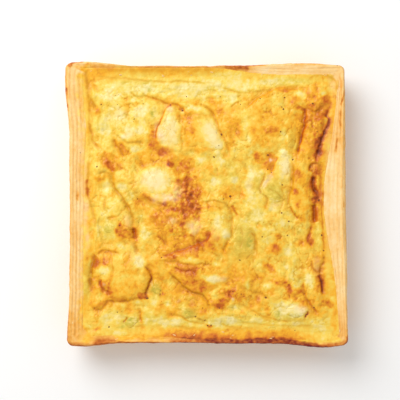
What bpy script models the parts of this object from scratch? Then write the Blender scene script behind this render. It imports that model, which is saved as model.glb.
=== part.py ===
"""A square leek and brie quiche, baked in a 20 cm tin and turned out.

A puff pastry case holds the egg filling. The cut edges of the pastry puffed into flaky leaves on
the left and right sides, and the front and back sides were pressed thinner. The filling rose,
sank again and left plates of skin with creases between them. Pieces of brie and leek show in it.

Metres, +Z up. The origin is in the middle of the underside, +X is right and +Y is the back.
Lengths below are in millimetres, and are turned to metres where the meshes are made.
"""

import math

import bmesh
import bpy
from mathutils import Vector, geometry, noise

MM = 0.001

# Driving sizes
HALF_SIDE = 99.0  # from the middle to the rim's outside
RIM_HEIGHT = 36.0
BASE_THICKNESS = 6.0
FILLING_EDGE_HEIGHT = 33.2
WALL_LEAN = 2.4  # how much narrower the case's inside is at its floor
GAP = 0.4  # between the filling and the pastry, and round each piece set into the filling

# The pastry case
SIDE_CELLS = 18
CORNER_CELLS = 6
RIM_LEAVES = 4  # flaky leaves across the rim
LEAF_DEPTH = 0.7
RIM_SAG = 2.0  # how far the rim falls from its outside to the filling
RIM_WAVE = 0.9
WALL_WAVE = 0.5
CAVITY_RADIUS = 7.0

# The filling
SWELL = 1.2  # how far the middle rose above the edge
SKIN_STEP = 4.1  # between the corners of the skin's mesh
CREASE_STEP = 3.4  # between them along a crease
CREASE_SIDE = 2.6  # from a crease to the rows of corners beside it

# Puffed plates of skin: middle x, y, half-widths along and across, turn in degrees, rise
PLATES = {
    "front_left": (-61, -51, 19, 15, -20, 3.0),
    "left_middle": (-65, -8, 11, 19, 12, 2.2),
    "left_back": (-75, 29, 8, 13, 0, 1.4),
    "beside_round_brie": (-59, 15, 7, 13, 0, 1.6),
    "back_left": (-52, 49, 13, 10, -20, 1.6),
    "flap_over_slab": (-9, 69, 13, 5, -8, 1.6),
    "back_right": (38, 60, 26, 21, 10, 2.4),
    "right_strip": (77, 62, 7, 24, -12, 1.6),
    "right_tongue": (67, 9, 7, 21, 4, 2.8),
    "middle_right": (40, -10, 17, 22, 10, 1.2),
    "middle": (5, -14, 11, 20, 10, 2.2),
    "toasted_heap": (-20, -8, 17, 15, 0, 1.8),
    "front_fold": (-6, -46, 22, 12, -24, 2.4),
    "front_middle": (17, -62, 14, 9, 20, 1.6),
    "front_right": (57, -60, 14, 11, -30, 1.4),
    "front_right_strip": (77, -58, 5, 15, 10, 1.8),
}

# Creases between the plates: depth, half-width, then the points that they run through
CREASES = {
    "left_edge": (1.8, 2.4, (-87, 92), (-85, 80), (-80, 67), (-84, 54), (-81, 42), (-84, 24), (-86, 4), (-80, -14),
                  (-78, -28), (-84, -48), (-86, -64), (-83, -78)),
    "left_long": (2.2, 2.4, (-70, 31), (-67, 18), (-66, 9), (-58, 0), (-53, -10), (-52, -24), (-48, -38)),
    "front_left_side": (3.0, 2.4, (-46, -42), (-40, -51), (-44, -62), (-43, -68)),
    "front_left_foot": (1.8, 2.2, (-79, -75), (-70, -68), (-60, -69), (-48, -65)),
    "back_left_fold": (1.8, 2.6, (-67, 50), (-64, 41), (-60, 31)),
    "over_triangle": (1.6, 2.0, (-46, 77), (-33, 74), (-23, 71), (-15, 65)),
    "beside_slab": (2.2, 2.2, (3, 65), (9, 53), (14, 42), (17, 34)),
    "right_fold": (2.0, 2.2, (67, 70), (70, 62), (68, 50), (65, 37)),
    "right_gap": (3.6, 2.8, (87, 62), (83, 50), (78, 38), (76, 26), (75, 12), (79, 2), (77, -12), (73, -25), (77, -36)),
    "right_gap_front": (2.6, 2.4, (84, -38), (80, -48), (82, -60), (84, -71)),
    "tongue_side": (2.0, 2.0, (61, 33), (61, 18), (57, 4), (61, -5), (66, -14)),
    "middle_line": (1.6, 2.0, (14, 1), (17, -9), (16, -24), (11, -36)),
    "under_fold": (2.2, 2.0, (-29, -49), (-18, -58), (-7, -64), (1, -70), (2, -78)),
    "front_ridge": (1.4, 2.0, (5, -70), (15, -66), (22, -62)),
    "front_right_fold": (1.6, 2.0, (68, -57), (70, -66), (77, -76)),
}

# Pieces set into the filling. Each has its outline, its thickness and how far its top stands proud.
BRIE = {
    "brie_triangle": (9.0, 2.6, (-26, 70), (-22.5, 65), (-21.5, 57), (-20.5, 49), (-19, 43), (-20, 40), (-26, 41.5),
                      (-33, 43), (-36, 47), (-34, 54), (-31, 61), (-28.5, 67)),
    "brie_slab": (9.0, 2.2, (-16.5, 64), (-9, 63), (-1, 62.5), (4, 58), (8, 51.5), (11.5, 45), (12.5, 39), (7, 37),
                  (0, 38), (-8, 40.5), (-15.5, 41), (-17, 48), (-18, 56)),
    "brie_round": (11.0, 3.4, (-47, 21), (-40, 25), (-31, 26), (-25, 23), (-23, 16), (-24, 8), (-28, 3), (-34, 3),
                   (-40, 5.5), (-47, 8), (-50, 14)),
    "brie_sliver": (7.0, 1.8, (51, 20), (50, 27), (52, 34), (56, 36.5), (58.5, 32), (58.5, 25), (55.5, 19)),
    "brie_corner": (8.0, 2.2, (56, -74), (60, -71), (65, -71.5), (69.5, -75), (70.5, -78.5), (66, -81), (60, -80.5),
                    (56, -78)),
}
LEEK = {
    "leek_wide": (3.2, 1.0, (23, -12.5), (19.5, -19), (18.5, -27), (18.5, -34), (22, -38), (28.5, -38), (33, -33),
                  (34.5, -26), (31.5, -18), (28, -13)),
    "leek_leaf": (3.0, 1.0, (39.5, 12), (43, 16.5), (49, 15), (54, 8), (55.5, 3.5), (51.5, 1.5), (46, 3), (40.5, 7)),
    "leek_shred": (2.8, 0.9, (57, 41), (56, 46), (58.5, 51.5), (62, 50), (62.5, 44), (60.5, 40.5)),
    "leek_shadow": (3.0, 0.9, (-37.5, -53), (-34, -56), (-33, -61), (-35.5, -64.5), (-38.5, -63), (-39, -58)),
    "leek_wedge": (3.0, 1.0, (-59, -84.5), (-57, -80.5), (-52, -79.5), (-49.8, -82), (-52, -86), (-57, -88)),
    "leek_fleck": (2.8, 0.8, (-19.5, -75), (-14, -72.5), (-9, -75), (-9, -79.5), (-14, -81.5), (-19.5, -80)),
    "leek_ring": (2.8, 0.8, (46.5, -80.5), (47.5, -77.3), (50, -76.2), (52.3, -78.5), (52.6, -82), (49.5, -83.2)),
    "leek_pale": (2.8, 0.8, (-74, -14), (-70, -12.5), (-66.5, -15), (-67, -19), (-71, -20.5), (-74.5, -18)),
}

# Colours in linear light, and roughness
PASTRY_FINISH = ((0.83, 0.50, 0.20, 1.0), 0.62)
CUSTARD_FINISH = ((0.90, 0.55, 0.10, 1.0), 0.42)
BRIE_FINISH = ((0.93, 0.74, 0.34, 1.0), 0.38)
LEEK_FINISH = ((0.55, 0.52, 0.12, 1.0), 0.40)


def hump(distance, width):
    """A smooth bell: 1 at no distance, and almost 0 at twice the width."""
    return math.exp(-((distance / width) ** 2))


def clear_scene():
    for old in list(bpy.data.objects):
        bpy.data.objects.remove(old)


def material(name, finish):
    colour, roughness = finish
    made = bpy.data.materials.new(name)
    made.use_nodes = True
    surface = made.node_tree.nodes["Principled BSDF"]
    surface.inputs["Base Color"].default_value = colour
    surface.inputs["Roughness"].default_value = roughness
    surface.inputs["Metallic"].default_value = 0.0
    return made


def object_from(bm, name, home, finish=None):
    """A named object from a bmesh that is in millimetres."""
    bmesh.ops.scale(bm, vec=Vector((MM, MM, MM)), verts=bm.verts)
    bmesh.ops.recalc_face_normals(bm, faces=bm.faces)
    mesh = bpy.data.meshes.new(name)
    bm.to_mesh(mesh)
    bm.free()
    mesh.shade_smooth()
    made = bpy.data.objects.new(name, mesh)
    home.objects.link(made)
    if finish:
        mesh.materials.append(finish)
    return made


# The quiche's uneven edges. Each takes a place along the side, and gives the distance from the middle.


def outer_edges(u, v):
    """Left, right, front and back outsides of the rim: drawn in at the middle, with full corners."""
    x, y = u * HALF_SIDE, v * HALF_SIDE
    left = 98.8 + 3.3 * hump(y - 88, 26) + 2.0 * hump(y + 94, 20)
    right = 99.3 - 1.2 * v
    front = 99.1 + 2.6 * hump(x + 88, 17) + 3.1 * hump(x - 80, 18) + 0.6 * hump(x - 35, 35)
    back = 98.8 + 3.4 * hump(x + 86, 24) + 2.4 * hump(x - 66, 34)
    return left, right, front, back


def wall_sag(x, v, z):
    """How far the lower wall sags out beyond the rim, on the parts of the back and front where it did."""
    if v > 0.9:
        return 2.7 * hump(z - 22, 7) * hump(x + 36, 26)
    if v < -0.9:
        return 1.6 * hump(z - 22, 7) * hump(x - 20, 36)
    return 0.0


def inner_edges(u, v):
    """Left, right, front and back edges of the filling. The right side's leaves flop in over it."""
    x, y = u * HALF_SIDE, v * HALF_SIDE
    left = 86.6 - 1.9 * hump(y - 52, 25)
    right = 92.5 - 11.5 * hump(y - 6, 56)
    front = 93.0 + 1.3 * math.tanh((x + 30) / 15) + 1.7 * hump(x - 80, 18)
    back = 93.3 - 2.1 * math.tanh((x - 22) / 14)
    return left, right, front, back


def rounded(u, v, radius):
    """A point of the unit square, moved so that the square's corners are rounded."""
    r = radius / HALF_SIDE
    a, b = (abs(u) - (1 - r)) / r, (abs(v) - (1 - r)) / r
    if a <= 0 or b <= 0:
        return u, v
    p = 1 - r + r * a * math.sqrt(1 - b * b / 2)
    q = 1 - r + r * b * math.sqrt(1 - a * a / 2)
    return math.copysign(p, u), math.copysign(q, v)


def stretched(u, v, across, inset):
    """A point of the unit square at the quiche's size. across is 0 at the rim's outside and 1 at the filling."""
    outside, inside = outer_edges(u, v), inner_edges(u, v)
    left, right, front, back = (o + (i - o) * across - inset for o, i in zip(outside, inside))
    x = (right - left) / 2 + u * (right + left) / 2
    y = (back - front) / 2 + v * (back + front) / 2
    return x, y


def perimeter():
    """Places round the unit square, counter-clockwise, closer together at the corners."""
    straight = 1 - CAVITY_RADIUS / HALF_SIDE
    along = [-straight + 2 * straight * i / SIDE_CELLS for i in range(SIDE_CELLS)]
    bend = [straight + (1 - straight) * math.tan(math.pi / 4 * 2 * i / CORNER_CELLS) for i in range(CORNER_CELLS // 2)]
    side = [(p, -1.0) for p in along] + [(p, -1.0) for p in bend]
    side += [(1.0, -1.0)] + [(1.0, -p) for p in reversed(bend[1:])]
    places = []
    for _ in range(4):
        places += side
        side = [(-v, u) for u, v in side]
    return places


PERIMETER = perimeter()


def wall_rings():
    """Rings of the case: across the wall from outside to filling, inset, corner radius, height, ridge.

    They run from the foot up the outside, over the rim's leaves, and down inside to the floor.
    """
    rings = [
        (0.0, 6.4, 7.0, 0.0, 0.0),
        (0.0, 4.0, 7.0, 1.6, 0.0),
        (0.0, 2.4, 6.5, 12.0, 0.0),
        (0.0, 1.3, 6.0, 24.0, 0.0),
        (0.0, 0.2, 5.0, 27.5, 0.0),
        (0.0, 0.9, 4.5, 30.0, 0.0),
        (0.0, 0.0, 4.2, 32.6, 0.0),
        (0.05, 0.0, 4.0, RIM_HEIGHT - 1.0, 0.0),
    ]
    steps = 2 * RIM_LEAVES
    for i in range(steps):
        share = (i + 0.5) / steps
        across = 0.12 + 0.80 * share
        ridge = LEAF_DEPTH if i % 2 == 0 else -LEAF_DEPTH
        rings.append((across, 0.0, 4.0 + 2.6 * share, RIM_HEIGHT + 0.4 - RIM_SAG * share, ridge))
    rings += [
        (1.0, 0.0, CAVITY_RADIUS, FILLING_EDGE_HEIGHT + 0.6, 0.0),
        (1.0, WALL_LEAN, CAVITY_RADIUS, BASE_THICKNESS, 0.0),
    ]
    return rings


def ring_points(across, inset, radius, height, ridge):
    """The points of one ring. Only the outside and the rim are uneven: the foot and the inside stay true."""
    points = []
    loose = 0.0 < height and across < 1.0
    for place_u, place_v in PERIMETER:
        u, v = rounded(place_u, place_v, radius)
        x, y = stretched(u, v, across, inset)
        z = height
        if loose:
            spot = Vector((x, y, 3 * height)) / 26.0
            flaky = min(1.0, max(0.0, abs(u) ** 6 - abs(v) ** 6 + 0.35))
            rise = min(1.0, height / RIM_HEIGHT) ** 4
            bulge = WALL_WAVE * noise.noise(spot) + wall_sag(x, v, z)
            out = Vector((x, y)).normalized()
            x += out.x * bulge
            y += out.y * bulge
            z += rise * RIM_WAVE * noise.noise(Vector((x, y, 0)) / 34.0 + Vector((4, 7, 1)))
            z += ridge * flaky * (0.7 + 0.6 * noise.noise(Vector((x, y, 9)) / 14.0))
            z += rise * 0.8 * (abs(u) * abs(v)) ** 5
        points.append((x, y, z))
    return points


def make_case(home):
    """The pastry case: one loft of rings, closed by the flat foot and by the floor under the filling."""
    bm = bmesh.new()
    loops = [[bm.verts.new(p) for p in ring_points(*ring)] for ring in wall_rings()]
    for low, high in zip(loops, loops[1:]):
        for i in range(len(low)):
            j = (i + 1) % len(low)
            bm.faces.new((low[i], low[j], high[j], high[i]))
    bm.faces.new(loops[0])
    bm.faces.new(loops[-1])
    return object_from(bm, "pastry_case", home, material("baked_pastry", PASTRY_FINISH))


def curve_through(points, steps=5):
    """More points on a smooth curve through these."""
    ends = [points[0], *points, points[-1]]
    found = []
    for a, b, c, d in zip(ends, ends[1:], ends[2:], ends[3:]):
        for i in range(steps):
            t = i / steps
            found.append(tuple(
                0.5 * (2 * q + (r - p) * t + (2 * p - 5 * q + 4 * r - s) * t * t + (3 * q - p - 3 * r + s) * t ** 3)
                for p, q, r, s in zip(a, b, c, d)
            ))
    return [*found, points[-1]]


CREASE_LINES = {name: curve_through(row[2:]) for name, row in CREASES.items()}


def distance_to_line(x, y, line):
    nearest = 1e9
    for (ax, ay), (bx, by) in zip(line, line[1:]):
        dx, dy = bx - ax, by - ay
        t = max(0.0, min(1.0, ((x - ax) * dx + (y - ay) * dy) / (dx * dx + dy * dy + 1e-9)))
        nearest = min(nearest, math.hypot(x - ax - t * dx, y - ay - t * dy))
    return nearest


def plate_rise(x, y):
    """How far the puffed plates stand up here. Each is flat on top with rounded shoulders."""
    rise = 0.0
    for mid_x, mid_y, along, over, turn, height in PLATES.values():
        c, s = math.cos(math.radians(turn)), math.sin(math.radians(turn))
        p = (c * (x - mid_x) + s * (y - mid_y)) / along
        q = (c * (y - mid_y) - s * (x - mid_x)) / over
        rise = max(rise, height * math.exp(-((p * p + q * q) ** 2) / 1.2))
    return rise


def crease_fall(x, y):
    return max(row[0] * hump(distance_to_line(x, y, CREASE_LINES[name]), row[1]) for name, row in CREASES.items())


def skin_height(x, y):
    """Height of the filling's top, in millimetres, at a place on it."""
    u, v = x / HALF_SIDE, y / HALF_SIDE
    edge = min(1.0, max(0.0, (0.95 - max(abs(u), abs(v))) / 0.16))
    shoulder = edge * edge * (3 - 2 * edge)
    spot = Vector((x, y, 0.0))
    ripple = 0.7 * noise.noise(spot / 17.0) + 0.45 * noise.noise(spot / 7.5 + Vector((3, 1, 5)))
    relief = SWELL + plate_rise(x, y) - crease_fall(x, y) + ripple
    return FILLING_EDGE_HEIGHT + shoulder * relief


def evenly_along(line, step):
    """Places at even steps along a line, each with the direction across it."""
    places, owed = [], 0.0
    for (ax, ay), (bx, by) in zip(line, line[1:]):
        long = math.hypot(bx - ax, by - ay)
        while owed < long:
            t = owed / long
            places.append((ax + (bx - ax) * t, ay + (by - ay) * t, (ay - by) / long, (bx - ax) / long))
            owed += step
        owed -= long
    return places


def well_inside(x, y):
    margin = SKIN_STEP / 2
    left, right, front, back = inner_edges(x / HALF_SIDE, y / HALF_SIDE)
    return -left + margin < x < right - margin and -front + margin < y < back - margin


def skin_corners(rim):
    """Corners for the skin's mesh: its rim, rows along the creases, and an even triangular grid between them."""
    wanted = []
    for line in CREASE_LINES.values():
        places = evenly_along(line, CREASE_STEP)
        wanted += [(x, y, 2.0) for x, y, _, _ in places if well_inside(x, y)]
    for line in CREASE_LINES.values():
        for side in (-CREASE_SIDE, CREASE_SIDE):
            for x, y, across_x, across_y in evenly_along(line, CREASE_STEP):
                sx, sy = x + side * across_x, y + side * across_y
                if well_inside(sx, sy):
                    wanted.append((sx, sy, 2.2))
    rows = round(2 * HALF_SIDE / (SKIN_STEP * math.sqrt(3) / 2))
    columns = round(2 * HALF_SIDE / SKIN_STEP)
    for i in range(1, rows):
        for j in range(columns):
            u, v = rounded(-1 + 2 * (j + 0.25 + 0.5 * (i % 2)) / columns, -1 + 2 * i / rows, CAVITY_RADIUS)
            x, y = stretched(u, v, 1.0, GAP)
            wanted.append((x, y, 0.68 * SKIN_STEP))
    corners = list(rim)
    for x, y, space in wanted:
        if all(math.hypot(x - cx, y - cy) > space for cx, cy in corners):
            corners.append((x, y))
    return corners


def make_filling(home):
    """The filling as one solid: its puffed skin, sides that follow the pastry, and a flat bottom."""
    ends = zip(PERIMETER, PERIMETER[1:] + PERIMETER[:1])
    places = [place for (a, b), (c, d) in ends for place in ((a, b), ((a + c) / 2, (b + d) / 2))]
    places = [rounded(u, v, CAVITY_RADIUS) for u, v in places]
    rim = [stretched(u, v, 1.0, GAP) for u, v in places]
    foot = [stretched(u, v, 1.0, WALL_LEAN + GAP) for u, v in places]
    edges = [(i, (i + 1) % len(rim)) for i in range(len(rim))]
    corners = [Vector(c) for c in skin_corners(rim)]
    flat, _, triangles, _, _, _ = geometry.delaunay_2d_cdt(corners, edges, [], 1, 1e-5)
    bm = bmesh.new()
    top = [bm.verts.new((x, y, skin_height(x, y))) for x, y in flat]
    for triangle in triangles:
        bm.faces.new([top[i] for i in triangle])
    low = [bm.verts.new((x, y, BASE_THICKNESS + GAP)) for x, y in foot]
    for i, j in edges:
        bm.faces.new((top[i], top[j], low[j], low[i]))
    bm.faces.new(low)
    return object_from(bm, "egg_filling", home, material("baked_custard", CUSTARD_FINISH))


def outline_reach(outline):
    """The outline's middle, and a function that gives its distance from there in any direction."""
    mid_x = sum(p[0] for p in outline) / len(outline)
    mid_y = sum(p[1] for p in outline) / len(outline)
    polar = sorted((math.atan2(y - mid_y, x - mid_x), math.hypot(x - mid_x, y - mid_y)) for x, y in outline)
    polar = [(polar[-1][0] - 2 * math.pi, polar[-1][1]), *polar, (polar[0][0] + 2 * math.pi, polar[0][1])]

    def reach(angle):
        for (a, near), (b, far) in zip(polar, polar[1:]):
            if a <= angle <= b:
                t = (angle - a) / (b - a)
                t = t * t * (3 - 2 * t)
                return near + (far - near) * t
        return polar[0][1]

    return mid_x, mid_y, reach


def make_piece(name, row, home, segments, rings, hugging, grow=0.0, finish=None):
    """A piece set into the filling, from a sphere: its outline seen from above, and its top and underside.

    A hugging piece bends with the skin, and any other lies flat. grow makes it larger all round.
    """
    thickness, proud, outline = row[0], row[1], row[2:]
    mid_x, mid_y, reach = outline_reach(outline)
    level = skin_height(mid_x, mid_y)
    bm = bmesh.new()
    bmesh.ops.create_uvsphere(bm, u_segments=segments, v_segments=rings, radius=1.0)
    for vert in bm.verts:
        flat = math.hypot(vert.co.x, vert.co.y)
        angle = math.atan2(vert.co.y, vert.co.x)
        out = flat ** 0.55 * (reach(angle) + grow)
        x, y = mid_x + out * math.cos(angle), mid_y + out * math.sin(angle)
        rise = math.copysign(abs(vert.co.z) ** 0.8, vert.co.z) * (thickness / 2 + grow)
        ground = skin_height(x, y) if hugging else level
        vert.co = (x, y, ground + proud - thickness / 2 + rise)
    return object_from(bm, name, home, finish)


def make_inlays(home, cutters):
    """The brie and leek, and a slightly larger cutter for each, which makes its pocket in the filling."""
    brie, leek = material("brie", BRIE_FINISH), material("leek", LEEK_FINISH)
    for group, finish, segments, rings, hugging in ((BRIE, brie, 18, 8, False), (LEEK, leek, 14, 6, True)):
        for name, row in group.items():
            make_piece(name, row, home, segments, rings, hugging, finish=finish)
            cutter = make_piece(name + "_pocket", row, cutters, segments, rings, hugging, grow=GAP)
            cutter.hide_render = True
            cutter.display_type = "WIRE"


def cut_pockets(filling, cutters):
    pockets = filling.modifiers.new("pockets", "BOOLEAN")
    pockets.operation = "DIFFERENCE"
    pockets.solver = "EXACT"
    pockets.operand_type = "COLLECTION"
    pockets.collection = cutters


def main():
    clear_scene()
    quiche = bpy.data.collections.new("leek_and_brie_quiche")
    cutters = bpy.data.collections.new("pocket_cutters")
    bpy.context.scene.collection.children.link(quiche)
    bpy.context.scene.collection.children.link(cutters)
    cutters.hide_render = True
    make_case(quiche)
    filling = make_filling(quiche)
    make_inlays(quiche, cutters)
    cut_pockets(filling, cutters)


main()
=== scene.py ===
"""A square leek and brie quiche in baked puff pastry, seen from straight above.

Every piece is built in code: the pastry case with its flaky leaves, the filling's puffed and browned
skin, the brie and leek in it, pepper and crumbs. The folds, stains and spots that make this quiche
this one are rows in the tables below, and finer relief and mottling come from noise.

Lengths are in millimetres until a mesh is made. Colours in the tables are 0 to 255, as on a screen.
"""

import math

import bpy
import numpy as np
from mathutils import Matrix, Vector, noise
from mathutils.kdtree import KDTree


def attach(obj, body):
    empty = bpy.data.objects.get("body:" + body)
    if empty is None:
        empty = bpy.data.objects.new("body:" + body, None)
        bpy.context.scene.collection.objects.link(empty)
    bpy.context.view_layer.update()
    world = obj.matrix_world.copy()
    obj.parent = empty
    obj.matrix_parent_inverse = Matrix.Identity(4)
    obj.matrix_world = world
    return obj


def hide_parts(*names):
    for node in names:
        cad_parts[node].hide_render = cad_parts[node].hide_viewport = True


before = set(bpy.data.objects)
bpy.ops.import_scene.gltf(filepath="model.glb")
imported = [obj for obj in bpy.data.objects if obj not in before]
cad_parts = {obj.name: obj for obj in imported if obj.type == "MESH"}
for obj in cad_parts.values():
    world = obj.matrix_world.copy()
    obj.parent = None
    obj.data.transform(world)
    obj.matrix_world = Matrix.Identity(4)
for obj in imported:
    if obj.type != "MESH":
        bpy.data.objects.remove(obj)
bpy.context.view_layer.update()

bl_info = {
    "name": "Leek and brie quiche",
    "version": (1, 0, 0),
    "blender": (4, 5, 0),
    "location": "View3D > Sidebar > Quiche",
    "description": "Builds a square leek and brie quiche in puff pastry",
    "category": "Object",
}

MM = 0.001

# Sizes shared with the solids
HALF_SIDE = 99.0
RIM_HEIGHT = 36.0
BASE_THICKNESS = 6.0
FILLING_EDGE_HEIGHT = 33.2
WALL_LEAN = 2.4
CAVITY_RADIUS = 7.0
RIM_LEAVES = 4
RIM_SAG = 2.0
RIM_WAVE = 0.9
WALL_WAVE = 0.5
SWELL = 1.2

# The rim's leaves here are finer than the solid's, because thinner ones lie on top of them
LEAF_DEPTH = 0.28

# The skin reaches under the rim's inner edge, and over the blend it takes on the rim's height
SKIN_LAP = 2.4
SKIN_BLEND = 8.0
SKIN_BELOW_RIM = 0.12
# The rim's height at a place is the mean of this many of its nearest points
RIM_NEIGHBOURS = 14

# How far the skin climbs against a piece of brie, as a share of what stands proud, and how wide
BANK_SHARE = 0.62
BANK_WIDTH = 2.8

# Skin above this height is pressed down, so that the quiche stays as tall as its solids
SKIN_CREST = 37.6
CREST_SHARE = 0.35

# Where the skin starts at the rim, above the filling's edge, and how far its shoulder comes down
SKIN_START = 1.05
SHOULDER_DROP = 0.55

# How far from a line its relief and its stain are worked out, on the skin and on the rim
RELIEF_REACH = 16.0
STAIN_REACH = 9.0
RIM_REACH = 7.0

# How far noise pushes the folds, the puffed areas, the stains and the marks on the rim
FOLD_DRIFT = 0.7
PUFF_DRIFT = 1.6
STAIN_DRIFT = 1.5
RIM_DRIFT = 0.6

# Toasting, from 0 for pale to 1 for burnt: of plain skin, and the most that its stains and specks reach
PLAIN_TOAST = 0.38
STAIN_LIMIT = 0.64
SPECK_LIMIT = 0.82
# Contrast is raised by pushing the toasting away from this value
MIDDLE_TOAST = 0.35

# Seeds of noise that shape and paint share
VEIN_SEEDS = (81.0, 85.0)

# Puffed areas of skin: middle x, y, half-widths along and across, turn in degrees, rise
PUFFS = {
    "front_left": (-61, -51, 19, 15, -20, 3.0),
    "left_middle": (-65, -8, 11, 19, 12, 2.2),
    "left_back": (-75, 29, 8, 13, 0, 1.4),
    "beside_round_brie": (-59, 15, 7, 13, 0, 1.6),
    "back_left": (-52, 49, 13, 10, -20, 1.6),
    "flap_over_slab": (-9, 69, 13, 5, -8, 1.6),
    "back_right": (38, 60, 26, 21, 10, 2.4),
    "right_strip": (77, 62, 7, 24, -12, 1.6),
    "right_tongue": (67, 9, 7, 21, 4, 2.8),
    "middle_right": (40, -10, 17, 22, 10, 1.2),
    "middle": (5, -14, 11, 20, 10, 2.2),
    "toasted_heap": (-20, -8, 17, 15, 0, 1.8),
    "front_fold": (-6, -46, 22, 12, -24, 2.4),
    "front_middle": (17, -62, 14, 9, 20, 1.6),
    "front_right": (57, -60, 14, 11, -30, 1.4),
    "front_right_strip": (77, -58, 5, 15, 10, 1.8),
}

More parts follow.
